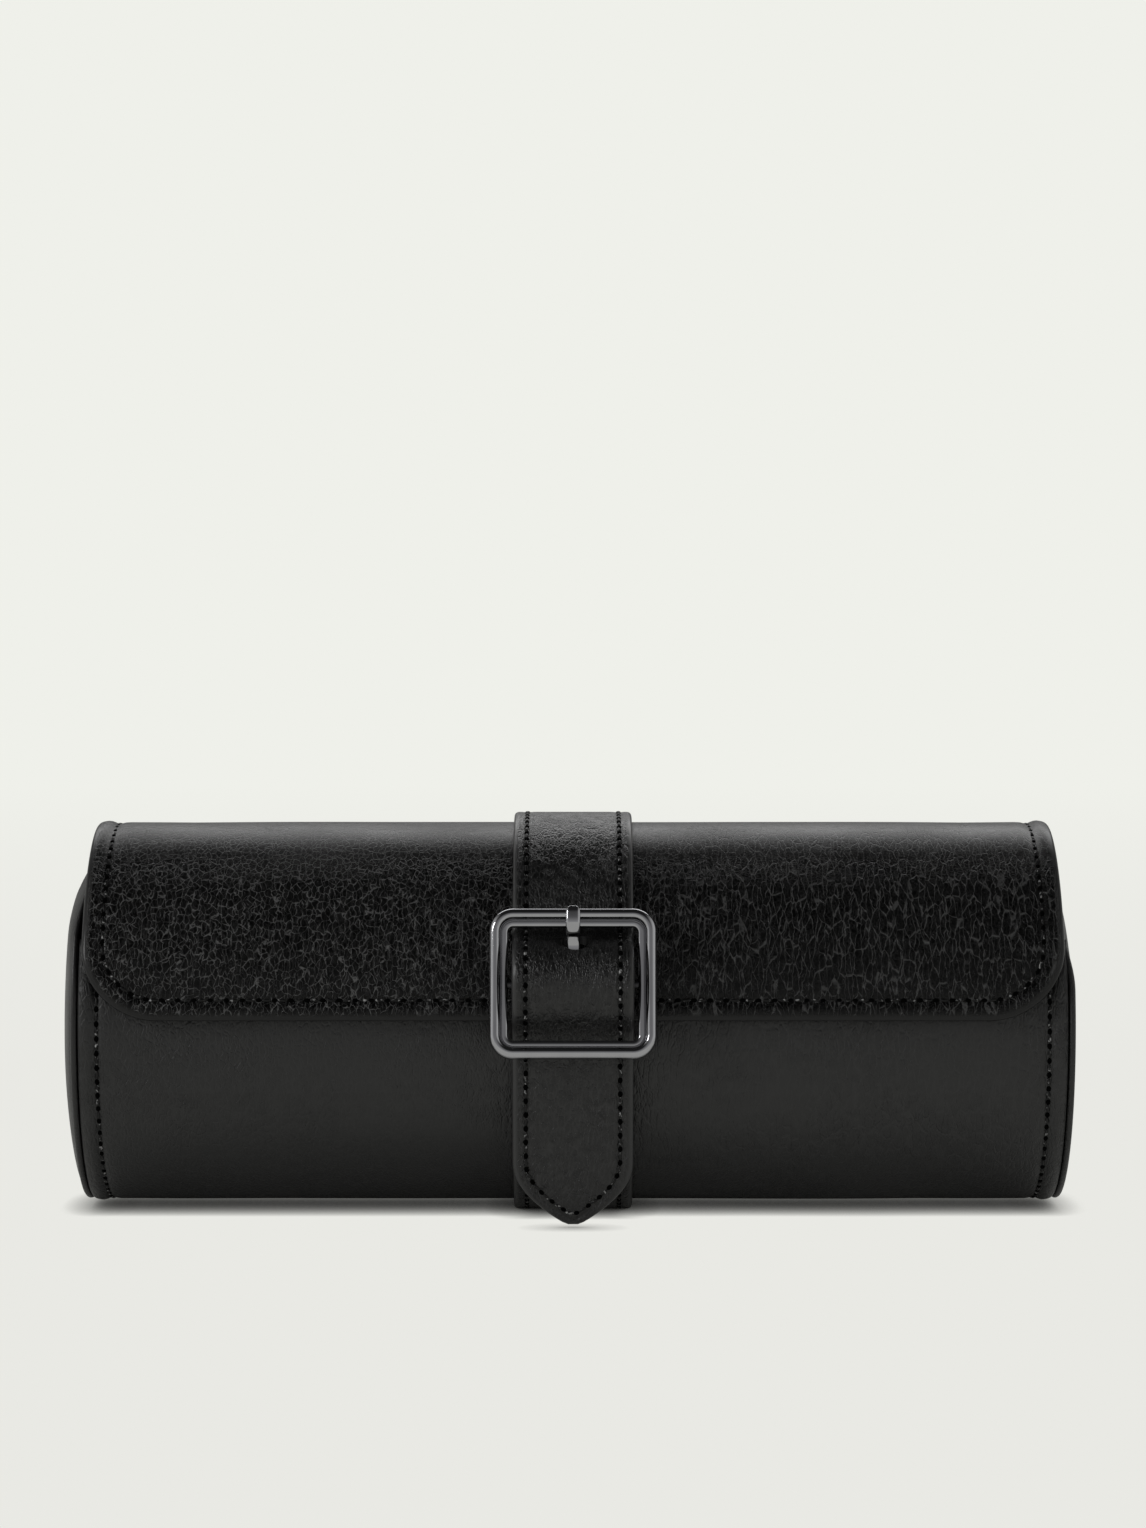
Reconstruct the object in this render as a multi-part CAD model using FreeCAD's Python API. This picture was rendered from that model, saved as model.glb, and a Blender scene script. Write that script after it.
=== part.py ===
import FreeCAD, Part
import math
import os

# Leather watch roll: a tube on its side with a flap over its mouth, padded ends, and a strap all round it
# with a centre-bar buckle in front. Millimetres; X along the tube, -Y to the front, +Z up. The origin is on
# the surface it stands on, below the tube's axis. Angles count from the front (0) over the top (90) to the
# back (180).

# Tube
tube_length = 204.0
tube_radius = 38.8
tube_leather = 1.4
tube_board = 1.4
tube_lining = 1.0
lip_angle = 30.0
lip_width = 1.6

# Flap
flap_length = 201.4
flap_leather = 1.3
flap_board = 0.6
flap_lining = 0.5
flap_edge_drop = 7.2
flap_corner = 16.0
hinge_angle = 150.0
panel_angle = 178.0

# Ends
cap_inset = 1.6
cap_rim = 0.6
cap_crown = 4.4
cap_leather = 1.0
cap_edge = 2.2
inner_padding = 2.0
inner_board = 1.6
inner_lining = 1.0
welt_thickness = 1.4
welt_inset = 0.8

# Strap
strap_width = 25.0
strap_face = 1.2
strap_backing = 1.0
strap_rest_flat = 0.9
strap_bend = 3.0
free_margin = 3.2
hump_half_length = 4.6
rise_inset = 1.9
dip_inset = 0.4
hang_inset = 0.8
tip_length = 12.5
tip_blunt = 0.6
tip_floor_gap = 0.6
tip_inset = 5.0
tip_swell_share = 0.74
tip_swell_drop_share = 0.52

# Tab of the strap that is turned round the buckle's bar
tab_angle = -35.0
tab_thickness = 1.0
tab_step_drop = 13.4
tab_step_top_drop = 7.8
tab_top_drop = 3.6
tab_low_points = 5
tab_leg = 7.0
tab_fold_length = 2.0
tab_slot_drop = 3.2

# Buckle
buckle_angle = 14.0
strap_side_gap = 0.85
buckle_height = 31.2
buckle_rail = 3.9
buckle_thickness = 3.2
buckle_corner = 5.0
buckle_round = 0.9
ledge_width = 1.5
ledge_drop = 0.8
bar_radius = 0.9
bar_seat = 1.6
prong_width = 3.0
prong_thickness = 1.8
prong_eye_wall = 1.1
prong_overhang = 0.3
prong_bend_inset = 1.1
hole_radius = 2.8
hole_share = 0.346

# Watch pillows and the dividers between them
pillow_count = 3
pillow_radius = 25.0
pillow_drawn_radius = 22.0
pillow_end_gap = 2.4
pillow_end_crown = 3.0
pillow_cover = 1.5
divider_thickness = 3.0
divider_rise = 8.0

# Clearances
soft_gap = 0.3
sewn_gap = 0.1
slot_gap = 0.4
pin_gap = 0.06
overrun = 20.0

# Worked out from the sizes above
strap_thickness = strap_face + strap_backing
strap_radius = tube_radius + sewn_gap
axis_height = strap_radius + strap_thickness - strap_rest_flat
inner_radius = tube_radius - tube_leather - tube_board - tube_lining
cap_radius = tube_radius - cap_inset
welt_radius = tube_radius - welt_inset
flap_radius = tube_radius + soft_gap
flap_outer = flap_radius + flap_lining + flap_board + flap_leather
flap_strap_radius = flap_outer + sewn_gap
half_tube = tube_length / 2
half_flap = flap_length / 2
half_strap = strap_width / 2
end_stack = inner_padding + inner_board + inner_lining
cell_pitch = (tube_length - 2 * end_stack) / pillow_count
pillow_length = cell_pitch - divider_thickness - 2 * pillow_end_gap

tab_radius = flap_outer + soft_gap + sewn_gap
loop_radius = bar_radius + soft_gap
bar_height = tab_radius + tab_thickness + loop_radius
buckle_width = strap_width + 2 * (strap_side_gap + buckle_rail)
buckle_inner = bar_height - bar_radius
buckle_outer = buckle_inner + buckle_thickness
hump_height = bar_height + loop_radius + tab_thickness + soft_gap + strap_thickness / 2
half_window = buckle_height / 2 - buckle_rail
rise_place = half_window - rise_inset
dip_place = half_window - dip_inset
prong_bend_place = half_window - prong_bend_inset
hang_drop = buckle_height / 2 - hang_inset
free_rise = buckle_height / 2 + free_margin

AXIS = FreeCAD.Vector(1, 0, 0)
CENTRE = FreeCAD.Vector(0, 0, axis_height)


def at(angle, radius):
    # A point of the cross-section, by its angle round the tube and its distance from the axis.
    turn = math.radians(angle)
    return FreeCAD.Vector(0, -radius * math.cos(turn), axis_height + radius * math.sin(turn))


def from_bar(rise):
    # The angle of a place on the flap's outside, by how far up from the buckle's bar it lies.
    return buckle_angle + math.degrees(rise / flap_outer)


def on_buckle(along, out):
    # A point of the cross-section, by its place up the buckle from the bar and its distance from the axis.
    upward = at(buckle_angle + 90, along) - CENTRE
    return at(buckle_angle, out) + upward


def moved(point, across):
    return FreeCAD.Vector(across, point.y, point.z)


def prism(edges, half_width):
    # A flat outline in the cross-section, stretched along X to both sides of the middle.
    face = Part.Face(Part.Wire(Part.__sortEdges__(edges)))
    face.translate(AXIS * -half_width)
    return face.extrude(AXIS * (2 * half_width))


def sector(inner, outer, first, last, half_width):
    # A curved sheet round the tube's axis.
    middle = (first + last) / 2
    edges = [
        Part.Arc(at(first, inner), at(middle, inner), at(last, inner)).toShape(),
        Part.Arc(at(first, outer), at(middle, outer), at(last, outer)).toShape(),
        Part.makeLine(at(first, inner), at(first, outer)),
        Part.makeLine(at(last, inner), at(last, outer)),
    ]
    return prism(edges, half_width)


def offset_path(points, offset, bend):
    # Straight runs with rounded corners, moved to one side of the line through the points.
    runs = [(after - before).normalize() for before, after in zip(points, points[1:])]
    sides = [FreeCAD.Vector(0, -run.z, run.y) for run in runs]
    start = points[0] + sides[0] * offset
    edges = []
    for place in range(1, len(runs)):
        before, after = runs[place - 1], runs[place]
        turn = math.atan2(before.cross(after).x, before.dot(after))
        hand = math.copysign(1, turn)
        reach = bend * math.tan(abs(turn) / 2)
        corner = points[place]
        centre = corner - before * reach + sides[place - 1] * (hand * bend)
        arc_start = corner - before * reach + sides[place - 1] * offset
        arc_end = corner + after * reach + sides[place] * offset
        arc_middle = centre + (corner - centre).normalize() * (bend - hand * offset)
        if start.distanceToPoint(arc_start) > pin_gap:
            edges.append(Part.makeLine(start, arc_start))
        else:
            arc_start = start
        edges.append(Part.Arc(arc_start, arc_middle, arc_end).toShape())
        start = arc_end
    end = points[-1] + sides[-1] * offset
    edges.append(Part.makeLine(start, end))
    return edges, points[0] + sides[0] * offset, end


def ribbon(points, low, high, bend, half_width):
    # A strip of even thickness that follows the points, between two distances to the left of them.
    low_edges, low_start, low_end = offset_path(points, low, bend)
    high_edges, high_start, high_end = offset_path(points, high, bend)
    ends = [Part.makeLine(low_start, high_start), Part.makeLine(low_end, high_end)]
    return prism(low_edges + high_edges + ends, half_width)


def round_bar(centre, radius, half_width):
    return Part.makeCylinder(radius, 2 * half_width, moved(centre, -half_width), AXIS)


def turned(profile, height):
    # A solid of revolution about a line along X at the given height.
    face = Part.Face(Part.Wire(Part.__sortEdges__(profile)))
    return face.revolve(FreeCAD.Vector(0, 0, height), AXIS, 360)


def save(name, shape):
    shape.exportStep("parts/" + name + ".step")


def mirrored(shape):
    return shape.mirror(FreeCAD.Vector(0, 0, 0), AXIS)


def save_pair(name, right):
    save(name + "_right", right)
    save(name + "_left", mirrored(right))


def make_tube():
    # The wall is a C from the front lip, down and round to the flap's sewn line.
    first, last = hinge_angle - 360, lip_angle
    layers = {"body_lining": tube_lining, "body_board": tube_board, "body_leather": tube_leather}
    radius = inner_radius
    for name, thickness in layers.items():
        save(name, sector(radius, radius + thickness, first, last, half_tube))
        radius += thickness
    lip_end = last + math.degrees(lip_width / tube_radius)
    save("front_lip", sector(inner_radius, tube_radius, last, lip_end, half_tube - end_stack))
    panel = sector(tube_radius + sewn_gap, flap_outer, hinge_angle, panel_angle, half_flap)
    save("flap_back_panel", panel)


def corner_cut(half_length):
    # What is taken off the flap's front to round its two corners.
    edge = at(from_bar(-flap_edge_drop), flap_radius).z
    below = flap_outer - flap_radius
    front = -flap_outer - overrun
    blocks = []
    for side in (-1, 1):
        end = side * (half_length + sewn_gap)
        middle = side * (half_length - flap_corner)
        block = Part.makeBox(abs(end - middle), flap_outer, flap_corner + below,
                             FreeCAD.Vector(min(end, middle), front, edge - below))
        centre = FreeCAD.Vector(middle, front, edge + flap_corner)
        blocks.append(block.cut(Part.makeCylinder(flap_corner, flap_outer, centre, FreeCAD.Vector(0, 1, 0))))
    return blocks


def make_flap():
    layers = {"flap_lining": flap_lining, "flap_board": flap_board, "flap_leather": flap_leather}
    radius = flap_radius
    corners = corner_cut(half_flap)
    for name, thickness in layers.items():
        sheet = sector(radius, radius + thickness, from_bar(-flap_edge_drop), hinge_angle, half_flap)
        save(name, sheet.cut(corners))
        radius += thickness


def crown_arc(radius, edge, top, middle):
    # Half the outline of a shallow ball-shaped crown, from its edge to its top on the axis.
    rise = top - edge
    ball = (radius ** 2 + rise ** 2) / (2 * rise)
    swell = top - ball + math.copysign(math.sqrt(ball ** 2 - (radius / 2) ** 2), rise)
    return Part.Arc(FreeCAD.Vector(edge, 0, middle + radius), FreeCAD.Vector(swell, 0, middle + radius / 2),
                    FreeCAD.Vector(top, 0, middle)).toShape()


def make_ends():
    # A lens-shaped padded cap on the outside, and padding, board and lining inside the tube's end.
    middle = axis_height
    rim = half_tube + cap_rim
    crown = rim + cap_crown

    def lens(radius, back, edge, top):
        return turned([
            Part.makeLine(FreeCAD.Vector(back, 0, middle), FreeCAD.Vector(back, 0, middle + radius)),
            Part.makeLine(FreeCAD.Vector(back, 0, middle + radius), FreeCAD.Vector(edge, 0, middle + radius)),
            crown_arc(radius, edge, top, middle),
            Part.makeLine(FreeCAD.Vector(top, 0, middle), FreeCAD.Vector(back, 0, middle)),
        ], middle)

    outside = lens(cap_radius, half_tube, rim, crown)
    padding = lens(cap_radius - cap_edge, half_tube, half_tube + sewn_gap, crown - cap_leather)
    save_pair("cap_leather", outside.cut(padding))
    save_pair("cap_padding", padding)
    disc_radius = inner_radius - sewn_gap
    place = half_tube
    discs = {"cap_foam": inner_padding, "cap_board": inner_board, "cap_lining": inner_lining}
    for name, thickness in discs.items():
        place -= thickness
        save_pair(name, round_disc(place, thickness, disc_radius))
    welt = Part.Circle(FreeCAD.Vector(0, 0, 0), FreeCAD.Vector(0, 1, 0), welt_thickness / 2)
    ring = Part.Face(Part.Wire(welt.toShape()))
    ring.translate(FreeCAD.Vector(half_tube + sewn_gap + welt_thickness / 2, 0, axis_height + welt_radius))
    save_pair("end_welt", ring.revolve(CENTRE, AXIS, 360))


def round_disc(place, thickness, radius):
    return Part.makeCylinder(radius, thickness, FreeCAD.Vector(place, 0, axis_height), AXIS)


def make_dividers():
    # Two low walls across the tube keep the pillows apart.
    radius = inner_radius - sewn_gap
    wall = round_disc((cell_pitch - divider_thickness) / 2, divider_thickness, radius)
    corner = FreeCAD.Vector(0, -radius, axis_height + divider_rise)
    above = Part.makeBox(cell_pitch, 2 * radius, radius, corner)
    save_pair("divider", wall.cut(above))


def pillow_shape(length, radius, drawn, crown):
    # A barrel that is drawn in at both ends, with crowned end faces.
    edge = length / 2 - crown
    profile = [
        Part.Arc(FreeCAD.Vector(-edge, 0, drawn), FreeCAD.Vector(0, 0, radius),
                 FreeCAD.Vector(edge, 0, drawn)).toShape(),
        Part.makeLine(FreeCAD.Vector(-length / 2, 0, 0), FreeCAD.Vector(length / 2, 0, 0)),
    ]
    for side in (-1, 1):
        profile.append(crown_arc(drawn, side * edge, side * length / 2, 0))
    return turned(profile, 0)


def make_pillows():
    outside = pillow_shape(pillow_length, pillow_radius, pillow_drawn_radius, pillow_end_crown)
    core = pillow_shape(pillow_length - 2 * pillow_cover, pillow_radius - pillow_cover,
                        pillow_drawn_radius - pillow_cover, pillow_end_crown)
    cover = outside.cut(core)
    rest = axis_height - (inner_radius - soft_gap - pillow_radius)
    for number in range(pillow_count):
        place = FreeCAD.Vector((number - (pillow_count - 1) / 2) * cell_pitch, 0, rest)
        save("pillow_cover_%d" % (number + 1), cover.translated(place))
        save("pillow_core_%d" % (number + 1), core.translated(place))


def make_fixed_strap():
    # Down the back over the flap's panel, a step off its edge, and underneath to where the tab folds.
    floor = Part.makeBox(2 * strap_width, 4 * tube_radius, overrun,
                         FreeCAD.Vector(-strap_width, -2 * tube_radius, -overrun))
    last = tab_angle + 360
    step = panel_angle + math.degrees(sewn_gap / tube_radius)
    layers = (("strap_fixed_lining", 0, strap_backing), ("strap_fixed", strap_backing, strap_face))
    for name, low, thickness in layers:
        high = low + thickness
        step_end = step + math.degrees(thickness / tube_radius)
        back = sector(flap_strap_radius + low, flap_strap_radius + high, hinge_angle, step, half_strap)
        fold = sector(strap_radius + low, flap_strap_radius + high, step, step_end, half_strap)
        under = sector(strap_radius + low, strap_radius + high, step_end, last, half_strap)
        save(name, back.fuse([fold, under]).removeSplitter().cut(floor))
        step = step_end


def make_upper_strap():
    radius = flap_strap_radius
    first, middle = from_bar(free_rise), radius + strap_backing
    save("strap_upper_lining", sector(radius, middle, first, hinge_angle, half_strap))
    save("strap_upper", sector(middle, middle + strap_face, first, hinge_angle, half_strap))


def free_points():
    # Off the flap, under the buckle's top rail, over the bar, under the bottom rail, then hanging to the tip.
    flap_middle = flap_strap_radius + strap_thickness / 2
    rise = math.degrees(math.asin(rise_place / flap_middle))
    dip = math.degrees(math.asin(dip_place / flap_middle))
    hang_radius = strap_radius + soft_gap + tab_thickness + soft_gap + strap_thickness / 2
    tip = at(-90, axis_height - tip_floor_gap)
    hang = at(from_bar(-hang_drop), hang_radius)
    return [
        at(from_bar(free_rise - soft_gap), flap_middle),
        at((from_bar(free_rise) + buckle_angle + rise) / 2, flap_middle + sewn_gap),
        at(buckle_angle + rise, flap_middle + sewn_gap),
        on_buckle(hump_half_length, hump_height),
        on_buckle(-hump_half_length, hump_height),
        at(buckle_angle - dip, flap_middle + sewn_gap),
        hang,
        FreeCAD.Vector(0, hang.y + tip_inset, tip.z),
    ]


def tip_cut(tip):
    # What is taken off the hanging end to leave two swelling sides that meet in a blunt point.
    swell, drop = half_strap * tip_swell_share, tip_length * tip_swell_drop_share
    depth = FreeCAD.Vector(0, 2 * overrun, 0)
    low, high = tip.z - overrun, tip.z + tip_length
    cuts = []
    for side in (-1, 1):
        shoulder = FreeCAD.Vector(side * half_strap, tip.y - overrun, high)
        point = FreeCAD.Vector(side * tip_blunt, tip.y - overrun, tip.z)
        middle = FreeCAD.Vector(side * swell, tip.y - overrun, high - drop)
        wide = FreeCAD.Vector(side * strap_width, tip.y - overrun, high)
        wide_low = FreeCAD.Vector(wide.x, wide.y, low)
        point_low = FreeCAD.Vector(point.x, point.y, low)
        edges = [Part.Arc(shoulder, middle, point).toShape()]
        corners = [point, point_low, wide_low, wide, shoulder]
        edges += [Part.makeLine(first, last) for first, last in zip(corners, corners[1:])]
        cuts.append(Part.Face(Part.Wire(Part.__sortEdges__(edges))).extrude(depth))
    return cuts


def make_free_end():
    points = free_points()
    before, after = points[2], points[3]
    slope = (after - before).normalize()
    middle = after + (before - after) * hole_share
    through = FreeCAD.Vector(0, -slope.z, slope.y)
    hole = Part.makeCylinder(hole_radius, 2 * overrun, middle - through * overrun, through)
    hole = hole.common(Part.makeSphere(overrun / 2, middle))
    cuts = tip_cut(points[-1]) + [hole]
    half = strap_thickness / 2
    middle = half - strap_backing
    layers = {"strap_free_lining": (half, middle), "strap_free_end": (middle, -half)}
    for name, (low, high) in layers.items():
        save(name, ribbon(points, low, high, strap_bend, half_strap).cut(cuts))


def placed(shape):
    # From the buckle's own axes (across, up, out) to its place on the roll.
    turned_shape = shape.copy()
    turned_shape.rotate(FreeCAD.Vector(0, 0, 0), AXIS, 90 - buckle_angle)
    turned_shape.translate(CENTRE)
    return turned_shape


def make_tab():
    # Up from the fold, over the flap's edge, round the bar and back down in front, with a slot for the prong.
    middle = tab_thickness / 2
    low_radius = strap_radius + soft_gap + middle
    first = tab_angle + math.degrees(soft_gap / low_radius)
    spread = (from_bar(-tab_step_drop) - first) / (tab_low_points - 1)
    points = [at(first + spread * number, low_radius) for number in range(tab_low_points)]
    points += [at(from_bar(-drop), tab_radius + middle) for drop in (tab_step_top_drop, tab_top_drop)]
    turn = loop_radius + middle
    leg_angle = math.degrees(math.asin(tab_leg / tab_radius))
    leg_foot = tab_radius + tab_thickness + sewn_gap + middle
    points += [
        on_buckle(turn, bar_height - turn),
        on_buckle(turn, bar_height + turn),
        on_buckle(-tab_fold_length, bar_height + turn),
        at(buckle_angle - leg_angle, leg_foot),
    ]
    half_slot = prong_width / 2 + slot_gap
    slot = Part.makeBox(2 * half_slot, tab_slot_drop + overrun, 2 * overrun,
                        FreeCAD.Vector(-half_slot, -tab_slot_drop, bar_height - overrun))
    save("strap_tab", ribbon(points, -middle, middle, turn, half_strap).cut(placed(slot)))


def rounded_block(width, height, corner, low, high):
    block = Part.makeBox(width, height, high - low, FreeCAD.Vector(-width / 2, -height / 2, low))
    upright = [edge for edge in block.Edges if edge.BoundBox.ZLength > edge.BoundBox.XLength + pin_gap
               and edge.BoundBox.ZLength > edge.BoundBox.YLength + pin_gap]
    return block.makeFillet(corner, upright)


def make_buckle():
    rim = rounded_block(buckle_width, buckle_height, buckle_corner, buckle_inner, buckle_outer)
    rim = rim.makeFillet(buckle_round, [edge for edge in rim.Edges if edge.BoundBox.ZLength < pin_gap])
    rail = buckle_rail - ledge_width
    step = rounded_block(buckle_width - 2 * rail, buckle_height - 2 * rail, buckle_corner - rail,
                         buckle_outer - ledge_drop, buckle_outer + overrun)
    window = rounded_block(buckle_width - 2 * buckle_rail, buckle_height - 2 * buckle_rail,
                           buckle_corner - buckle_rail, buckle_inner - overrun, buckle_outer + overrun)
    bar = round_bar(at(buckle_angle, bar_height), bar_radius, buckle_width / 2 - buckle_rail + bar_seat)
    save("buckle_frame", placed(rim.cut([step, window])).cut(bar))
    save("buckle_bar", bar)


def make_prong():
    # An eye round the bar and an arm that goes through the strap and lies on the top rail.
    half = prong_width / 2
    eye = at(buckle_angle, bar_height)
    top = buckle_outer + soft_gap + prong_thickness / 2
    points = [eye, on_buckle(prong_bend_place, top), on_buckle(buckle_height / 2 + prong_overhang, top)]
    arm = ribbon(points, -prong_thickness / 2, prong_thickness / 2, prong_thickness, half)
    ring = round_bar(eye, bar_radius + pin_gap + prong_eye_wall, half)
    hole = round_bar(eye, bar_radius + pin_gap, half + overrun)
    save("buckle_prong", ring.fuse(arm).removeSplitter().cut(hole))


os.makedirs("parts", exist_ok=True)
make_tube()
make_flap()
make_ends()
make_dividers()
make_pillows()
make_fixed_strap()
make_upper_strap()
make_free_end()
make_tab()
make_buckle()
make_prong()
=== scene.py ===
import math
import bmesh
import bpy
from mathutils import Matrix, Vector, noise


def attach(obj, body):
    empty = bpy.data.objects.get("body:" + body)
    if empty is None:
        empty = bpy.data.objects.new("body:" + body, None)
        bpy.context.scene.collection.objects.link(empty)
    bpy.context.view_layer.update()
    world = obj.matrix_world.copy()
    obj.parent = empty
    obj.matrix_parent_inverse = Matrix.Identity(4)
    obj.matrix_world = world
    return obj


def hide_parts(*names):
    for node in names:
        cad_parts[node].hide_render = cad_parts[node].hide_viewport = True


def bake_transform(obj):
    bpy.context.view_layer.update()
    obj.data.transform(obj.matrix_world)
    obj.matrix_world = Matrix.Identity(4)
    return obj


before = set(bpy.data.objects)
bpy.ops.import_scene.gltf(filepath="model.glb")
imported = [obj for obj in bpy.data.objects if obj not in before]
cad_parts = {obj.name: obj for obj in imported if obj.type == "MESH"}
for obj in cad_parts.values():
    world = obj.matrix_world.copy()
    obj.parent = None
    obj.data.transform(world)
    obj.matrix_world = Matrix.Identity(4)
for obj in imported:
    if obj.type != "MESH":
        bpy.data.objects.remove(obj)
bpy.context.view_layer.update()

mm = 0.001
farAway = 9.0  # mm, for a place with no stitch row or cut edge near it

# The roll lies along X with its buckle to -Y. Angles go round the tube: 0 front, 90 top, 180 back. Sizes in mm.
roll = {"axisHeight": 40.2, "tubeRadius": 38.8, "innerRadius": 35.0, "halfTube": 102.0,
        "lipAngle": 30.0, "hingeAngle": 150.0, "panelAngle": 178.0, "foldAngle": -35.0}


def aroundTube(x, angle, radius):
    turn = math.radians(angle)
    return Vector((x, -radius * math.cos(turn), roll["axisHeight"] + radius * math.sin(turn))) * mm


def outward(angle):
    turn = math.radians(angle)
    return Vector((0, -math.cos(turn), math.sin(turn)))


def evenly(first, last, step):
    count = max(1, round(abs(last - first) / step))
    return [first + (last - first) * number / count for number in range(count + 1)]


def ringTurns(count):
    return [math.tau * number / count for number in range(count)]


def clamped(share):
    return min(1.0, max(0.0, share))


def squarer(value, power):
    # Swells a round section towards a square one.
    return math.copysign(abs(value) ** power, value)


def acrossWidth(half, step, near):
    # Places across a strip: close together at both cut edges, then evenly spaced.
    inner = evenly(-half + near[-1], half - near[-1], step)
    return [-half + inset for inset in near[:-1]] + inner + [half - inset for inset in reversed(near[:-1])]


def roundShare(inset, radius, squareness):
    # How much of the thickness is left this far in from a cut edge.
    if inset >= radius:
        return 1.0
    return max(0.0, 1 - (1 - max(0.0, inset) / radius) ** squareness) ** (1 / squareness)


def addObject(name, mesh, material):
    piece = bpy.data.objects.new(name, mesh)
    bpy.context.scene.collection.objects.link(piece)
    if material:
        mesh.materials.clear()
        mesh.materials.append(material)
    for face in mesh.polygons:
        face.use_smooth = True
    return piece


def applyModifiers(piece):
    mesh = bpy.data.meshes.new_from_object(piece.evaluated_get(bpy.context.evaluated_depsgraph_get()))
    piece.modifiers.clear()
    piece.data = mesh


def closeMesh(mesh):
    work = bmesh.new()
    work.from_mesh(mesh)
    bmesh.ops.remove_doubles(work, verts=work.verts, dist=0.000002)  # two thousandths of a millimetre
    bmesh.ops.recalc_face_normals(work, faces=work.faces)
    work.to_mesh(mesh)
    work.free()


def makeSheet(name, rows, edgeRadius, squareness, material):
    # A closed sheet with rounded cut edges, from rows of (middle, normal, half thickness, rim, seam, uv).
    # rim is the distance in mm from the cut edge, seam the distance from the stitch row.
    points, uvs, rims, seams, faces = [], [], [], [], []
    for side in (1, -1):
        for row in rows:
            for middle, normal, half, rim, seam, uv in row:
                point = middle + normal * (side * half * mm * roundShare(rim, edgeRadius, squareness))
                point.z = max(point.z, 0)
                points.append(point)
                uvs.append(uv)
                rims.append(rim)
                seams.append(seam)
    wide, long = len(rows[0]), len(rows)
    back = wide * long
    for r in range(long - 1):
        for c in range(wide - 1):
            a = r * wide + c
            faces.append((a, a + 1, a + wide + 1, a + wide))
            faces.append((back + a, back + a + wide, back + a + wide + 1, back + a + 1))
    rimLoop = list(range(wide)) + [r * wide + wide - 1 for r in range(1, long)]
    rimLoop += [(long - 1) * wide + c for c in range(wide - 2, -1, -1)] + [r * wide for r in range(long - 2, 0, -1)]
    for a, b in zip(rimLoop, rimLoop[1:] + rimLoop[:1]):
        faces.append((a, back + a, back + b, b))
    mesh = bpy.data.meshes.new(name)
    mesh.from_pydata(points, [], faces)
    layer = mesh.uv_layers.new(name="skin")
    for loop in mesh.loops:
        layer.data[loop.index].uv = uvs[loop.vertex_index]
    for label, values in (("rim", rims), ("seam", seams)):
        mesh.attributes.new(label, "FLOAT", "POINT").data.foreach_set("value", values)
    closeMesh(mesh)
    return addObject(name, mesh, material)


def makeTube(name, rings, material, closedPath=False):
    # A solid swept through rings of points. Open ends are closed with a fan.
    points = [point for ring in rings for point in ring]
    size, faces = len(rings[0]), []
    for r in range(len(rings) if closedPath else len(rings) - 1):
        nextRing = (r + 1) % len(rings)
        for c in range(size):
            d = (c + 1) % size
            faces.append((r * size + c, r * size + d, nextRing * size + d, nextRing * size + c))
    if not closedPath:
        for start in (0, (len(rings) - 1) * size):
            points.append(sum(points[start:start + size], Vector()) / size)
            hub = len(points) - 1
            faces += [(start + c, start + (c + 1) % size, hub) for c in range(size)]
    mesh = bpy.data.meshes.new(name)
    mesh.from_pydata(points, [], faces)
    closeMesh(mesh)
    return addObject(name, mesh, material)


def lengthsAlong(walk, unit=1.0):
    # How far along the walk each of its points lies.
    lengths = [0.0]
    for a, b in zip(walk, walk[1:]):
        lengths.append(lengths[-1] + (b - a).length / unit)
    return lengths


def smoothPath(corners, step):
    # An even walk along the rounded line that touches the middle of every run between the corners.
    fine = [corners[0]]
    for number in range(1, len(corners) - 1):
        before, corner, after = corners[number - 1:number + 2]
        start = corners[0] if number == 1 else (before + corner) / 2
        end = corners[-1] if number == len(corners) - 2 else (corner + after) / 2
        for share in evenly(0, 1, 0.05)[1:]:
            fine.append(start * (1 - share) ** 2 + corner * (2 * share * (1 - share)) + end * share ** 2)
    lengths = lengthsAlong(fine)
    walk, place = [], 0
    for target in evenly(0, lengths[-1], step * mm):
        while place < len(fine) - 2 and lengths[place + 1] < target:
            place += 1
        share = (target - lengths[place]) / max(lengths[place + 1] - lengths[place], 1e-9)
        walk.append(fine[place].lerp(fine[place + 1], share))
    return walk


def pathNormals(walk, hand):
    normals = []
    for number in range(len(walk)):
        ahead = walk[min(number + 1, len(walk) - 1)] - walk[max(number - 1, 0)]
        normals.append(Vector((0, -ahead.z, ahead.y)).normalized() * hand)
    return normals


# Materials

def linearColor(text):
    parts = [int(text[place:place + 2], 16) / 255 for place in (1, 3, 5)]
    return [part / 12.92 if part <= 0.04045 else ((part + 0.055) / 1.055) ** 2.4 for part in parts] + [1.0]


def addNode(tree, kind, inputs=None, **settings):
    node = tree.nodes.new(kind)
    for name, value in settings.items():
        setattr(node, name, value)
    for key, value in (inputs or {}).items():
        if isinstance(value, bpy.types.NodeSocket):
            tree.links.new(value, node.inputs[key])
        else:
            node.inputs[key].default_value = value
    return node


def newMaterial(name):
    material = bpy.data.materials.new(name)
    material.use_nodes = True
    tree = material.node_tree
    return material, tree, tree.nodes["Principled BSDF"]


noiseSpan = (0.35, 0.65)  # most of a noise texture lies between these
glossSpan = (0.3, 0.7)


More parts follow.
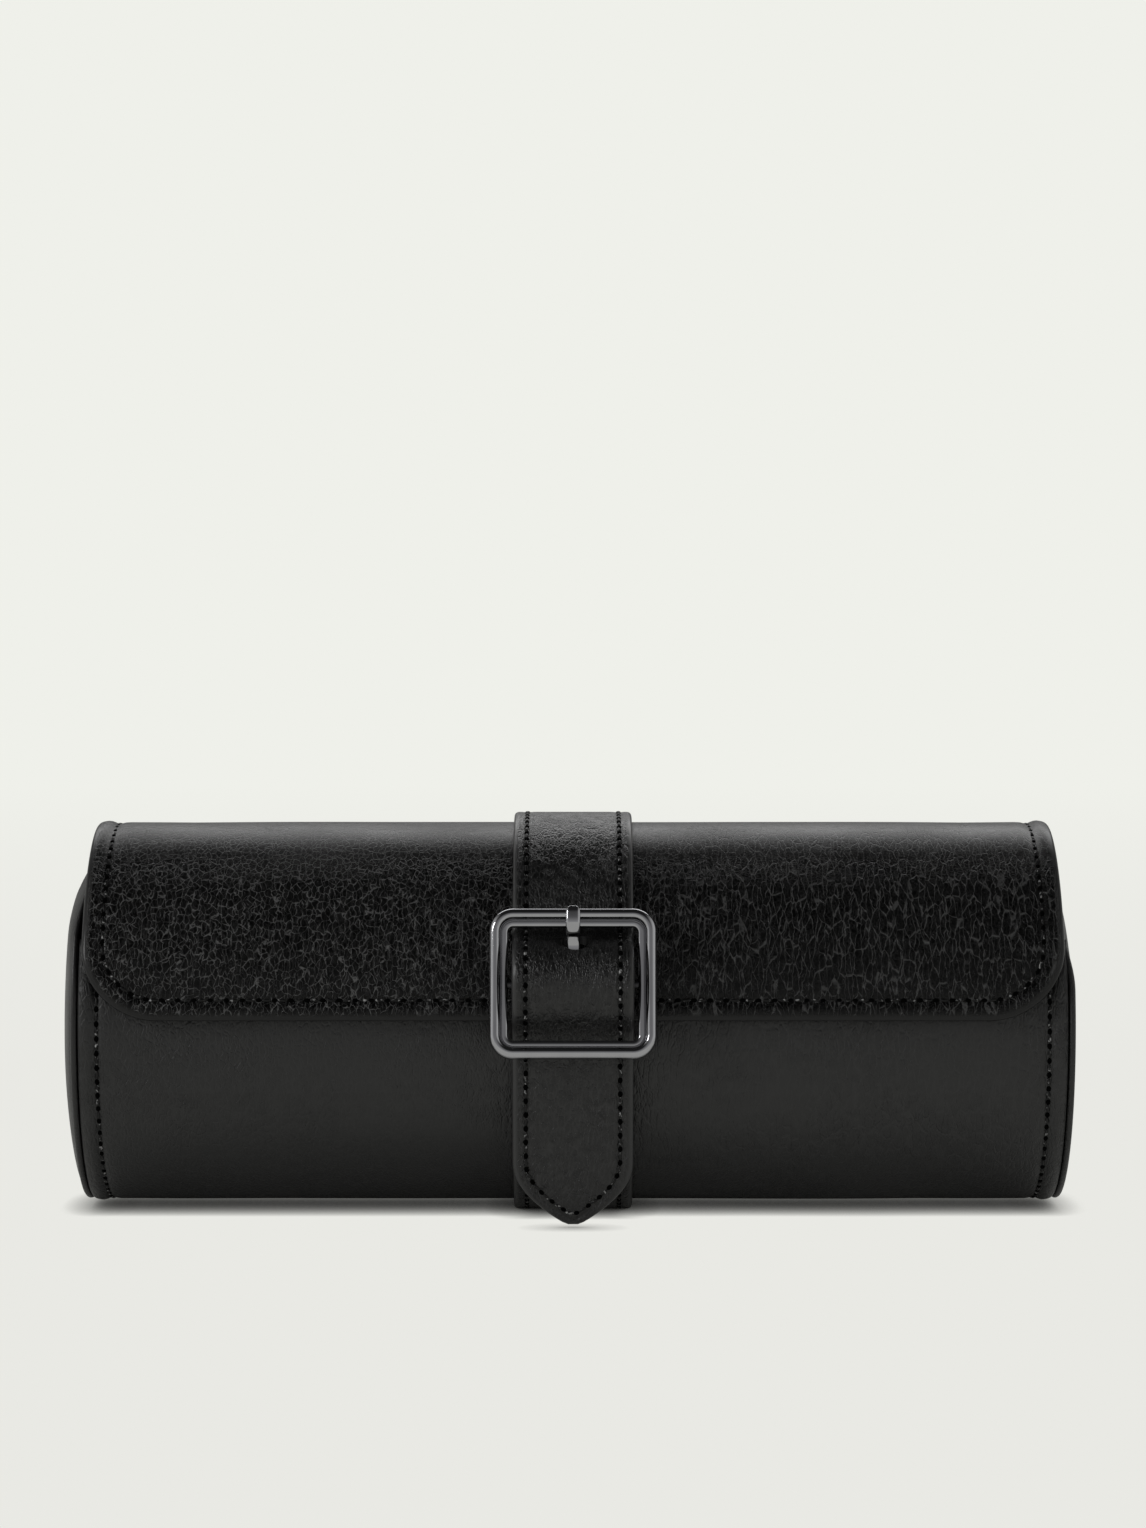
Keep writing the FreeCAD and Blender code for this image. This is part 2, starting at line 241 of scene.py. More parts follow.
def makeLeather(look):
    # Grain cells between creases, drawn out into long creases where the hide was pulled, with finer wrinkles on top.
    material, tree, shader = newMaterial(look["name"])
    if look["onSkin"]:
        skin = addNode(tree, "ShaderNodeUVMap", uv_map="skin").outputs[0]
    else:
        spot = addNode(tree, "ShaderNodeTexCoord").outputs["Object"]
        skin = addNode(tree, "ShaderNodeMapping", {"Vector": spot, "Scale": (1000, 1000, 1000)}).outputs[0]
    drift = addNode(tree, "ShaderNodeTexNoise", {"Vector": skin, "Scale": 0.45, "Detail": 4.0})  # about 2 mm
    broken = addNode(tree, "ShaderNodeTexNoise", {"Vector": skin, "Scale": 1 / look["creaseRun"], "Detail": 2.0})
    thin, thick = look["creaseWidth"]
    tops = []
    for (width, length), bend in ((look["cell"], look["bend"]), (look["longCell"], look["longBend"]),
                                  (look["fineCell"], look["bend"])):
        bent = addNode(tree, "ShaderNodeVectorMath", {0: drift.outputs["Color"], 1: (bend, bend, bend), 2: skin},
                       operation="MULTIPLY_ADD")
        grid = addNode(tree, "ShaderNodeMapping",
                       {"Vector": bent.outputs[0], "Scale": (1 / width, 1 / length, 1 / length)})
        cells = addNode(tree, "ShaderNodeTexVoronoi", {"Vector": grid.outputs[0], "Scale": 1.0},
                        feature="DISTANCE_TO_EDGE")
        reach = addNode(tree, "ShaderNodeMapRange", {0: broken.outputs[0], 1: noiseSpan[0], 2: noiseSpan[1],
                                                     3: thin / width, 4: thick / width})
        tops.append(addNode(tree, "ShaderNodeMapRange", {0: cells.outputs["Distance"], 2: reach.outputs[0]},
                            interpolation_type="SMOOTHSTEP").outputs[0])
    patches = addNode(tree, "ShaderNodeTexNoise", {"Vector": skin, "Scale": 1 / look["patchSize"], "Detail": 2.0})
    acrossHide = addNode(tree, "ShaderNodeSeparateXYZ", {0: skin})
    wander = addNode(tree, "ShaderNodeMath",
                     {0: patches.outputs[0], 1: look["pullWander"], 2: acrossHide.outputs[0]},
                     operation="MULTIPLY_ADD")
    pulled = addNode(tree, "ShaderNodeMapRange", {0: wander.outputs[0], 1: look["pull"][0], 2: look["pull"][1],
                                                  3: 0.1, 4: 0.9})  # neither grain is ever quite alone
    grain = addNode(tree, "ShaderNodeMix", {0: pulled.outputs[0], 2: tops[0], 3: tops[1]})
    depthShare = addNode(tree, "ShaderNodeMapRange", {0: patches.outputs[0], 1: noiseSpan[0], 2: noiseSpan[1],
                                                      3: look["flatShare"], 4: 1.0}).outputs[0]
    if look["stretched"]:
        flattened = addNode(tree, "ShaderNodeMapRange", {0: acrossHide.outputs[1], 1: look["stretched"][0],
                                                         2: look["stretched"][1], 3: 1.0, 4: look["stretchedDepth"]})
        depthShare = addNode(tree, "ShaderNodeMath", {0: depthShare, 1: flattened.outputs[0]},
                             operation="MULTIPLY").outputs[0]
    if look["edge"]:
        rim = addNode(tree, "ShaderNodeAttribute", attribute_name="rim").outputs["Fac"]
        inside = addNode(tree, "ShaderNodeMapRange", {0: rim, 1: look["edgeWidth"] * 0.7,
                                                      2: look["edgeWidth"] * 1.4}).outputs[0]
        depthShare = addNode(tree, "ShaderNodeMath", {0: depthShare, 1: inside}, operation="MULTIPLY").outputs[0]
    wrinkled = addNode(tree, "ShaderNodeMath", {0: tops[2], 1: look["fineShare"], 2: grain.outputs[0]},
                       operation="MULTIPLY_ADD")
    height = addNode(tree, "ShaderNodeMath", {0: wrinkled.outputs[0], 1: depthShare}, operation="MULTIPLY")
    if look["groove"]:
        seam = addNode(tree, "ShaderNodeAttribute", attribute_name="seam")
        away = addNode(tree, "ShaderNodeMath", {0: seam.outputs["Fac"]}, operation="ABSOLUTE")
        groove = addNode(tree, "ShaderNodeMapRange", {0: away.outputs[0], 2: 1.1},  # mm to each side of the row
                         interpolation_type="SMOOTHSTEP")
        height = addNode(tree, "ShaderNodeMath",
                         {0: groove.outputs[0], 1: look["groove"] / look["depth"], 2: height.outputs[0]},
                         operation="MULTIPLY_ADD")
    bump = addNode(tree, "ShaderNodeBump",
                   {"Height": height.outputs[0], "Distance": look["depth"] * mm, "Strength": 1.0})
    lines = addNode(tree, "ShaderNodeMix", {0: depthShare, 2: 1.0, 3: grain.outputs[0]})
    # Painted highlight: the creases are coloured lighter than the base, for the light their edges catch, with a
    # separate colour where the hide was pulled.
    creaseHighlight = addNode(tree, "ShaderNodeMix", {0: pulled.outputs[0], 6: linearColor(look["crease"]),
                                           7: linearColor(look["pulledCrease"])}, data_type="RGBA").outputs[2]
    color = addNode(tree, "ShaderNodeMix", {0: lines.outputs[0], 6: creaseHighlight, 7: linearColor(look["base"])},
                    data_type="RGBA").outputs[2]
    # The band along the cut edge takes the edge colour: edge paint, and partly a painted highlight for the light the
    # rounded edge catches.
    if look["edge"]:
        color = addNode(tree, "ShaderNodeMix", {0: inside, 6: linearColor(look["edge"]), 7: color},
                        data_type="RGBA").outputs[2]
    gloss = addNode(tree, "ShaderNodeMapRange", {0: patches.outputs[0], 1: glossSpan[0], 2: glossSpan[1],
                                                 3: look["rough"][0], 4: look["rough"][1]})
    if look["stretched"]:
        dull = look["stretchedDull"] / (1 - look["stretchedDepth"])
        gloss = addNode(tree, "ShaderNodeMath", {0: flattened.outputs[0], 1: -dull, 2: gloss.outputs[0]},
                        operation="MULTIPLY_ADD")
        gloss = addNode(tree, "ShaderNodeMath", {0: gloss.outputs[0], 1: dull})
    tree.links.new(color, shader.inputs["Base Color"])
    tree.links.new(gloss.outputs[0], shader.inputs["Roughness"])
    tree.links.new(bump.outputs[0], shader.inputs["Normal"])
    shader.inputs["IOR"].default_value = look["ior"]
    return material


# Object coordinates are in metres, so a scale of 1000 / 4 gives a pattern of about 4 mm.
def makeSuede(name, base, nap):
    # Brushed pigskin suede: a short nap that scatters light and brightens at a slant.
    material, tree, shader = newMaterial(name)
    spot = addNode(tree, "ShaderNodeTexCoord").outputs["Object"]
    fibres = addNode(tree, "ShaderNodeTexNoise",
                     {"Vector": spot, "Scale": 1000 / 0.5, "Detail": 4.0, "Roughness": 0.7})
    strokes = addNode(tree, "ShaderNodeTexNoise", {"Vector": spot, "Scale": 1000 / 14, "Detail": 3.0})
    share = addNode(tree, "ShaderNodeMapRange", {0: strokes.outputs[0], 1: noiseSpan[0], 2: noiseSpan[1]})
    tone = addNode(tree, "ShaderNodeMix", {0: share.outputs[0], 6: linearColor(base), 7: linearColor(nap)},
                   data_type="RGBA")
    bump = addNode(tree, "ShaderNodeBump", {"Height": fibres.outputs[0], "Distance": 0.12 * mm, "Strength": 1.0})
    tree.links.new(tone.outputs[2], shader.inputs["Base Color"])
    tree.links.new(bump.outputs[0], shader.inputs["Normal"])
    shader.inputs["Roughness"].default_value = 0.95
    shader.inputs["Sheen Weight"].default_value = 0.35
    shader.inputs["Sheen Roughness"].default_value = 0.45
    return material


def makeGunmetal(name, dark, light, rough):
    # Gunmetal plate on zinc: polished or left satin, with faint polishing haze.
    material, tree, shader = newMaterial(name)
    spot = addNode(tree, "ShaderNodeTexCoord").outputs["Object"]
    haze = addNode(tree, "ShaderNodeTexNoise", {"Vector": spot, "Scale": 1000 / 4, "Detail": 4.0})
    gloss = addNode(tree, "ShaderNodeMapRange", {0: haze.outputs[0], 1: glossSpan[0], 2: glossSpan[1],
                                                 3: rough[0], 4: rough[1]})
    tone = addNode(tree, "ShaderNodeMix", {0: haze.outputs[0], 6: linearColor(dark), 7: linearColor(light)},
                   data_type="RGBA")
    tree.links.new(tone.outputs[2], shader.inputs["Base Color"])
    tree.links.new(gloss.outputs[0], shader.inputs["Roughness"])
    shader.inputs["Metallic"].default_value = 1.0
    return material


def makeBoard():
    # Pressed grey fibreboard: matt, with short fibres.
    material, tree, shader = newMaterial("pressedFibreboard")
    spot = addNode(tree, "ShaderNodeTexCoord").outputs["Object"]
    fibres = addNode(tree, "ShaderNodeTexNoise", {"Vector": spot, "Scale": 1000 / 1.2, "Detail": 5.0})
    tone = addNode(tree, "ShaderNodeMix",
                   {0: fibres.outputs[0], 6: linearColor("#2a2826"), 7: linearColor("#3a3835")}, data_type="RGBA")
    bump = addNode(tree, "ShaderNodeBump", {"Height": fibres.outputs[0], "Distance": 0.05 * mm})
    tree.links.new(tone.outputs[2], shader.inputs["Base Color"])
    tree.links.new(bump.outputs[0], shader.inputs["Normal"])
    shader.inputs["Roughness"].default_value = 0.85
    return material


def makeThread():
    # Waxed black polyester thread: a two-ply twist with a dull shine, and small bright spots painted into its colour as
    # glints.
    material, tree, shader = newMaterial("waxedThread")
    spot = addNode(tree, "ShaderNodeTexCoord").outputs["Object"]
    twist = addNode(tree, "ShaderNodeTexNoise", {"Vector": spot, "Scale": 1000 / 0.8, "Detail": 1.0})
    # Painted highlight: a few near-white specks in the thread's colour stand for glints.
    paintedGlints = addNode(tree, "ShaderNodeMapRange", {0: twist.outputs[0], 1: 0.58, 2: 0.7})
    tone = addNode(tree, "ShaderNodeMix",
                   {0: paintedGlints.outputs[0], 6: linearColor("#080808"), 7: linearColor("#a8a8a8")}, data_type="RGBA")
    bump = addNode(tree, "ShaderNodeBump", {"Height": twist.outputs[0], "Distance": 0.05 * mm})
    tree.links.new(tone.outputs[2], shader.inputs["Base Color"])
    tree.links.new(bump.outputs[0], shader.inputs["Normal"])
    shader.inputs["Roughness"].default_value = 0.45
    shader.inputs["IOR"].default_value = 1.35
    return material


# In each leather, crease is a painted highlight: the creases' colour, lighter than the base, for the light their edges
# catch. edge is the cut edge's colour, partly edge paint and partly a painted highlight.
# Pebbled calf: tumbled full-grain leather, so small pebbles that turn to long creases where the hide was pulled.
pebbledCalf = makeLeather({
    "name": "pebbledCalf", "onSkin": True, "base": "#050505", "crease": "#6e6e6e", "pulledCrease": "#4e4e4e",
    "edge": "#242424", "edgeWidth": 1.1, "cell": (1.1, 2.0), "longCell": (1.25, 4.8), "fineCell": (0.6, 0.9),
    "fineShare": 0.35, "bend": 2.0, "longBend": 1.3, "creaseRun": 2.0, "creaseWidth": (0.03, 0.13),
    "patchSize": 22.0, "pull": (-10.0, 70.0), "pullWander": 60.0, "flatShare": 0.7, "stretched": (28.0, 40.0),
    "stretchedDepth": 0.15, "stretchedDull": 0.1, "depth": 0.28, "groove": 0.14, "rough": (0.17, 0.27), "ior": 1.27})
# Smooth calf: the same hide pressed flat over the board, with faint grain.
smoothCalf = makeLeather({
    "name": "smoothCalf", "onSkin": True, "base": "#151515", "crease": "#212121", "pulledCrease": "#212121",
    "edge": "#222222", "edgeWidth": 0.4, "cell": (1.0, 2.2), "longCell": (1.3, 4.5), "fineCell": (0.5, 1.1),
    "fineShare": 0.5, "bend": 1.4, "longBend": 1.0, "creaseRun": 3.0, "creaseWidth": (0.1, 0.25),
    "patchSize": 26.0, "pull": (-40.0, 80.0), "pullWander": 80.0, "flatShare": 0.4, "stretched": None,
    "depth": 0.12, "groove": 0.14, "rough": (0.42, 0.52), "ior": 1.48})
# Strap calf: smooth leather with fine creases and bevelled edges closed with dark paint; the edge colour is lighter
# than the face, partly a painted highlight on the bevel.
strapCalf = makeLeather({
    "name": "strapCalf", "onSkin": True, "base": "#0e0e0e", "crease": "#2c2c2c", "pulledCrease": "#2c2c2c",
    "edge": "#303030", "edgeWidth": 0.9, "cell": (0.9, 1.7), "longCell": (1.1, 3.8), "fineCell": (0.4, 0.8),
    "fineShare": 0.5, "bend": 1.2, "longBend": 0.7, "creaseRun": 2.2, "creaseWidth": (0.06, 0.22),
    "patchSize": 16.0, "pull": (0.0, 30.0), "pullWander": 30.0, "flatShare": 0.5, "stretched": None,
    "depth": 0.14, "groove": 0.16, "rough": (0.28, 0.38), "ior": 1.45})
# Cap calf: the smooth hide stretched over the padded ends and round the welts.
capCalf = makeLeather({
    "name": "capCalf", "onSkin": False, "base": "#101010", "crease": "#171717", "pulledCrease": "#171717",
    "edge": None, "cell": (1.2, 1.2), "longCell": (1.2, 1.8), "fineCell": (0.5, 0.5), "fineShare": 0.5,
    "bend": 1.0, "longBend": 1.0, "creaseRun": 3.0, "creaseWidth": (0.08, 0.22), "patchSize": 16.0,
    "pull": (-100.0, 160.0), "pullWander": 60.0, "flatShare": 0.3, "stretched": None, "depth": 0.06, "groove": 0,
    "rough": (0.4, 0.5), "ior": 1.48})
liningSuede = makeSuede("brushedSuede", "#29292c", "#39393d")
gunmetal = makeGunmetal("polishedGunmetal", "#98989b", "#a6a6a9", (0.05, 0.1))
barMetal = makeGunmetal("satinGunmetal", "#3c3c3e", "#4a4a4c", (0.35, 0.45))
board = makeBoard()
thread = makeThread()
print("materials made")


# Tube: outer leather, lining and the bound front lip
# swell is how fast the leather's unevenness changes across and along, and the slice of noise that it comes from.
tube = {"thickness": 1.4, "rowInset": 3.9, "step": 2.0, "turnStep": 2.5, "edgeRadius": 1.0, "squareness": 2.2,
        "pinch": 0.35, "borderPuff": 0.25, "puffPlace": 1.9, "puffWidth": 1.1, "unevenness": 0.25,
        "swell": (0.025, 0.03, 3.1)}
tubeLining = {"inset": 4.6, "half": 0.5, "step": 6.0, "turnStep": 4, "edgeRadius": 0.5,
              "edge": [0, 0.2, 0.5, 1.0, 2.0]}
cutEdge = [0, 0.05, 0.15, 0.3, 0.5, 0.8, 1.1, 1.5, 2.0, 2.6, 3.2, 3.7, 4.2, 4.8, 5.6, 6.8, 8.4]


def sewnSwell(sheet, x, along, rim):
    # Uneven leather, drawn in at the stitch row and puffed up between the row and the cut edge.
    across, onward, layer = sheet["swell"]
    swell = abs(noise.noise(Vector((x * across, along * onward, layer)))) * sheet["unevenness"]
    swell -= sheet["pinch"] * math.exp(-(rim - sheet["rowInset"]) ** 2)
    return swell + sheet["borderPuff"] * math.exp(-((rim - sheet["puffPlace"]) / sheet["puffWidth"]) ** 2)


def makeTubeLeather():
    half, radius = roll["halfTube"], roll["tubeRadius"] - tube["thickness"] / 2
    first, last = roll["hingeAngle"] - 360, roll["lipAngle"]
    rows = []
    for angle in evenly(first, last, tube["turnStep"]):
        row = []
        along = math.radians(angle - first) * roll["tubeRadius"]
        toEnd = math.radians(min(angle - first, last - angle)) * roll["tubeRadius"]
        for x in acrossWidth(half, tube["step"], cutEdge):
            rim = half - abs(x)
            middle = aroundTube(x, angle, radius + sewnSwell(tube, x, along, rim))
            seam = rim - tube["rowInset"]
            row.append((middle, outward(angle), tube["thickness"] / 2, min(rim, toEnd), seam, (x, along)))
        rows.append(row)
    piece = makeSheet("tubeLeather", rows, tube["edgeRadius"], tube["squareness"], smoothCalf)
    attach(piece, "body")
    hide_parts("body_leather")


def makeTubeLining():
    half, radius = roll["halfTube"] - tubeLining["inset"], roll["innerRadius"]
    first, last = roll["hingeAngle"] - 360, roll["lipAngle"]
    rows = []
    for angle in evenly(first, last, tubeLining["turnStep"]):
        along = math.radians(angle - first) * radius
        row = []
        for x in acrossWidth(half, tubeLining["step"], tubeLining["edge"]):
            middle = aroundTube(x, angle, radius + tubeLining["half"])
            row.append((middle, outward(angle), tubeLining["half"], half - abs(x), farAway, (x, along)))
        rows.append(row)
    piece = makeSheet("tubeLining", rows, tubeLining["edgeRadius"], 2.0, liningSuede)
    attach(piece, "body")
    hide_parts("body_lining")


lip = {"width": 1.9, "halfLength": 97.2, "innerRadius": 35.1, "outerRadius": 38.8, "step": 3.0, "ringPoints": 24,
       "edge": [0, 0.1, 0.4, 0.9, 1.6], "endRadius": 0.9, "wave": 0.12, "below": -0.25, "squareness": 0.7}


def makeFrontLip():
    # A strip of leather folded over the wall's cut edge. It is lower and narrower at its two ends.
    middle = (lip["innerRadius"] + lip["outerRadius"]) / 2
    reach = (lip["outerRadius"] - lip["innerRadius"]) / 2
    rings = []
    for x in acrossWidth(lip["halfLength"], lip["step"], lip["edge"]):
        share = roundShare(lip["halfLength"] - abs(x), lip["endRadius"], 2.0)
        wave = lip["wave"] * noise.noise(Vector((x * 0.08, 0.4, 7.7)))
        ring = []
        for turn in ringTurns(lip["ringPoints"]):
            rise = (max(lip["below"], math.sin(turn)) * lip["width"] + wave) * (0.4 + 0.6 * share)
            place = middle + squarer(math.cos(turn), lip["squareness"]) * reach * (0.8 + 0.2 * share)
            ring.append(aroundTube(x, roll["lipAngle"] + math.degrees(rise / roll["tubeRadius"]), place))
        rings.append(ring)
    piece = makeTube("frontLip", rings, capCalf)
    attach(piece, "body")
    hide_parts("front_lip")


makeTubeLeather()
makeTubeLining()
makeFrontLip()
print("tube made")


# Flap, in one sheet with the panel that is sewn to the tube's back
flap = {"innerRadius": 39.7, "outerRadius": 41.5, "half": 101.3, "corner": 16.0, "edgeAngle": 4.06, "rowInset": 4.3,
        "step": 2.0, "rowStep": 1.6, "backRows": 13, "edgeRadius": 1.1, "squareness": 2.2, "pinch": 0.35,
        "borderPuff": 0.3, "puffPlace": 2.1, "puffWidth": 1.2, "unevenness": 0.35, "swell": (0.022, 0.03, 5.3),
        "bendHalf": 4.0}
flapSuede = {"innerRadius": 39.15, "outerRadius": 39.65, "inset": 1.2, "edgeRadius": 0.4}
flapLength = math.radians(roll["panelAngle"] - flap["edgeAngle"]) * flap["outerRadius"]


def flapAngle(along):
    return flap["edgeAngle"] + math.degrees(along / flap["outerRadius"])


def flapRim(x, along):
    corner = flap["corner"]
    sideways, forward = abs(x) - (flap["half"] - corner), corner - along
    if sideways > 0 and forward > 0:
        return corner - math.hypot(sideways, forward)
    return min(flap["half"] - abs(x), along, flapLength - along)


def makeFlapSheet(name, layer, inset, material):
    corner, innerRadius, outerRadius = flap["corner"], layer["innerRadius"], layer["outerRadius"]
    places = [corner * (1 - math.cos(math.radians(turn))) for turn in evenly(0, 90, 3)]
    places += evenly(corner, flapLength - cutEdge[flap["backRows"]], flap["rowStep"])[1:]
    places += [flapLength - near for near in reversed(cutEdge[:flap["backRows"]])]
    middleRadius, half = (innerRadius + outerRadius) / 2, (outerRadius - innerRadius) / 2
    shrink = 1 - inset / flap["half"]
    rows = []
    for along in places:
        forward = max(0.0, corner - along)
        width = flap["half"] - corner + math.sqrt(corner ** 2 - forward ** 2)
        row = []
        for share in acrossWidth(flap["half"], flap["step"], cutEdge):
            x = share / flap["half"] * width
            rim = max(0.0, flapRim(x, along))
            angle = flapAngle(along + inset * (1 - 2 * along / flapLength))
            middle = aroundTube(x * shrink, angle, middleRadius + sewnSwell(flap, x, along, rim))
            row.append((middle, outward(flapAngle(along)), half, rim, rim - flap["rowInset"], (x, along)))
        rows.append(row)
    return makeSheet(name, rows, layer["edgeRadius"], flap["squareness"], material)


def bendAtHinge(piece):
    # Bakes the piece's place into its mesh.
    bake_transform(piece)


flapLeather = makeFlapSheet("flapLeather", flap, 0, pebbledCalf)
bendAtHinge(flapLeather)
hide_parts("flap_leather", "flap_board", "flap_back_panel")
flapLining = makeFlapSheet("flapLining", flapSuede, flapSuede["inset"], liningSuede)
bendAtHinge(flapLining)
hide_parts("flap_lining")
print("flap made")


# Buckle axes: up the buckle from its bar, and out from the tube
buckle = {"angle": 14.0, "width": 34.5, "height": 31.2, "rail": 3.9, "corner": 5.0, "innerFace": 43.45}


def onBuckle(x, up, out):
    turn = math.radians(buckle["angle"])
    y = -out * math.cos(turn) + up * math.sin(turn)
    return Vector((x, y, roll["axisHeight"] + out * math.sin(turn) + up * math.cos(turn))) * mm


# Strap: over the flap, through the buckle to the hanging point, and underneath to the tab round the bar
strap = {"half": 12.5, "thickness": 2.2, "rowInset": 2.8, "flapRadius": 42.7, "underRadius": 40.0, "splitAngle": 33.0,
         "backAngle": 176.0, "step": 2.0, "edgeRadius": 1.2, "squareness": 2.4, "tipLength": 13.5, "tipBlunt": 1.0,
         "tipSwell": 0.87, "pinch": 0.12, "pinchWidth": 0.9, "railPress": 0.25, "railEase": 3.0, "topRailStart": 1.5,
         "topRailEnd": 8.0, "lowRailShare": 1.8, "lowRailPlace": 31.0, "lowRailReach": 7.0, "tabThickness": 1.0,
         "tabStart": 6.0, "tabRun": 5.0, "foldRadius": 41.1, "bendHalf": 3.0, "holeRadius": 3.0,
         "holePlace": (0.5, 7.82, 45.34), "holeDepth": 9.0}
strapEdge = [0, 0.05, 0.15, 0.3, 0.5, 0.8, 1.3, 1.9, 2.4, 2.8, 3.2, 3.8, 4.6]


def strapRows(walk, hand, halfWidth, halfThickness):
    # Sections of a strap along a walk. halfWidth is a function of the mm left to the end, halfThickness of those gone.
    normals = pathNormals(walk, hand)
    total = sum((b - a).length for a, b in zip(walk, walk[1:])) / mm
    rows, along = [], 0.0
    for number, (point, normal) in enumerate(zip(walk, normals)):
        if number:
            along += (point - walk[number - 1]).length / mm
        width, half = halfWidth(total - along), halfThickness(along)
        row = []
        inPoint = width < strap["half"] - 0.01
        for share in acrossWidth(strap["half"], strap["step"], strapEdge):
            x = share / strap["half"] * width
            rim = min(width - abs(x), total - along if inPoint else farAway)
            seam = width - abs(x) - strap["rowInset"]
            lift = -strap["pinch"] * math.exp(-(seam / strap["pinchWidth"]) ** 2)
            row.append((point + Vector((x * mm, 0, 0)) + normal * lift * mm, normal, half, rim, seam, (x, along)))
        rows.append(row)
    return rows


def makeStrap(name, walk, hand, halfWidth, halfThickness):
    rows = strapRows(walk, hand, halfWidth, halfThickness)
    return makeSheet(name, rows, strap["edgeRadius"], strap["squareness"], strapCalf)


def tipWidth(toTip):
    # Two swelling sides that meet in a blunt point.
    if toTip >= strap["tipLength"]:
        return strap["half"]
    turn = (toTip / strap["tipLength"]) ** strap["tipSwell"] * math.pi / 2
    return strap["tipBlunt"] + (strap["half"] - strap["tipBlunt"]) * math.sin(turn)


def plainWidth(toEnd):
    return strap["half"]


def plainHalf(along):
    return strap["thickness"] / 2


def endHalf(along):
    # Pressed thinner under the two rails, so that the frame has room to rock.
    topRail = clamped(along / strap["topRailStart"]) * clamped((strap["topRailEnd"] - along) / strap["railEase"])
    lowRail = clamped((strap["lowRailReach"] - abs(along - strap["lowRailPlace"])) / strap["railEase"])
    return strap["thickness"] / 2 - strap["railPress"] * (topRail + strap["lowRailShare"] * lowRail)


overAngles = evenly(strap["backAngle"], strap["splitAngle"], 1.4)
overWalk = [aroundTube(0, angle, strap["flapRadius"]) for angle in overAngles]
# Off the flap, under the top rail, over the bar, under the low rail and down to the table.
endCorners = [aroundTube(0, angle, radius) for angle, radius in ((strap["splitAngle"], strap["flapRadius"]),
                                                                 (31.0, 42.5), (28.6, 42.3))]
endCorners += [onBuckle(0, up, out) for up, out in ((6.5, 47.4), (0.5, 49.6), (-5.0, 47.4))]
endCorners += [aroundTube(0, angle, radius) for angle, radius in ((-1.35, 42.6), (-6.5, 41.5))]
endCorners += [Vector((0, -39.6, 20.0)) * mm, Vector((0, -36.4, 0.6)) * mm]
endWalk = smoothPath(endCorners, 0.7)

overStrap = makeStrap("strapOver", overWalk, -1, plainWidth, plainHalf)
bendAtHinge(overStrap)
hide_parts("strap_upper", "strap_upper_lining")

endStrap = makeStrap("strapEnd", endWalk, -1, tipWidth, endHalf)


def cutProngHole(piece):
    downStrap = (onBuckle(0, 6.5, 47.4) - onBuckle(0, 10.66, 40.9)).normalized()
    through = Vector((0, -downStrap.z, downStrap.y))
    bpy.ops.mesh.primitive_cylinder_add(
        vertices=24, radius=strap["holeRadius"] * mm, depth=strap["holeDepth"] * mm,
        location=onBuckle(*strap["holePlace"]), rotation=through.to_track_quat("Z", "Y").to_euler())
    punch = bpy.context.active_object
    cut = piece.modifiers.new("hole", "BOOLEAN")
    cut.object = punch
    cut.solver = "EXACT"
    applyModifiers(piece)
    bpy.data.objects.remove(punch)


cutProngHole(endStrap)
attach(endStrap, "flap")
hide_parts("strap_free_end", "strap_free_lining")

# Off the flap's back panel, under the tube, up the front and round the buckle's bar.
underCorners = [aroundTube(0, angle, strap["flapRadius"]) for angle in (strap["backAngle"], 177.5, 178.6)]
underCorners += [aroundTube(0, angle, strap["underRadius"]) for angle in [181.5] + evenly(184, 318, 3)]
underCorners += [aroundTube(0, angle, 39.75) for angle in evenly(324, 355.5, 4)]
underCorners += [aroundTube(0, 3.2, 42.4), aroundTube(0, 9.0, 42.4)]
underCorners += [onBuckle(0, up, out) for up, out in ((1.75, 42.4), (1.75, 45.8), (-2.0, 45.8))]
underCorners += [aroundTube(0, 4.4, 43.5)]
underWalk = smoothPath(underCorners, 1.0)
foldPlace = math.radians(360 + roll["foldAngle"] - strap["backAngle"]) * strap["underRadius"]


def underHalf(along):
    # The strap is pared down to the tab's thickness before the fold.
    share = clamped((along - foldPlace + strap["tabStart"]) / strap["tabRun"])
    return (strap["thickness"] * (1 - share) + strap["tabThickness"] * share) / 2


def bendAtFold(piece):
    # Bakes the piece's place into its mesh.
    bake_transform(piece)


underStrap = makeStrap("strapUnder", underWalk, 1, plainWidth, underHalf)
bendAtFold(underStrap)
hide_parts("strap_fixed", "strap_fixed_lining", "strap_tab")
print("strap made")


# Buckle frame: a broad half-round rim, a fine groove and a narrow inner band
frameProfile = [(0.0, 0.5), (0.0, 1.2), (0.06, 1.5), (0.18, 1.68), (0.4, 1.78), (0.8, 1.84), (1.1, 1.86),
                (1.2, 1.8), (1.27, 1.66), (1.34, 1.66), (1.4, 1.84), (1.5, 2.2), (1.7, 2.66), (2.0, 3.0),
                (2.35, 3.17), (2.65, 3.2), (3.0, 3.13), (3.4, 2.86), (3.7, 2.4), (3.87, 1.8), (3.9, 1.2),
                (3.84, 0.6), (3.6, 0.15), (3.2, 0.0), (0.7, 0.0), (0.2, 0.15)]


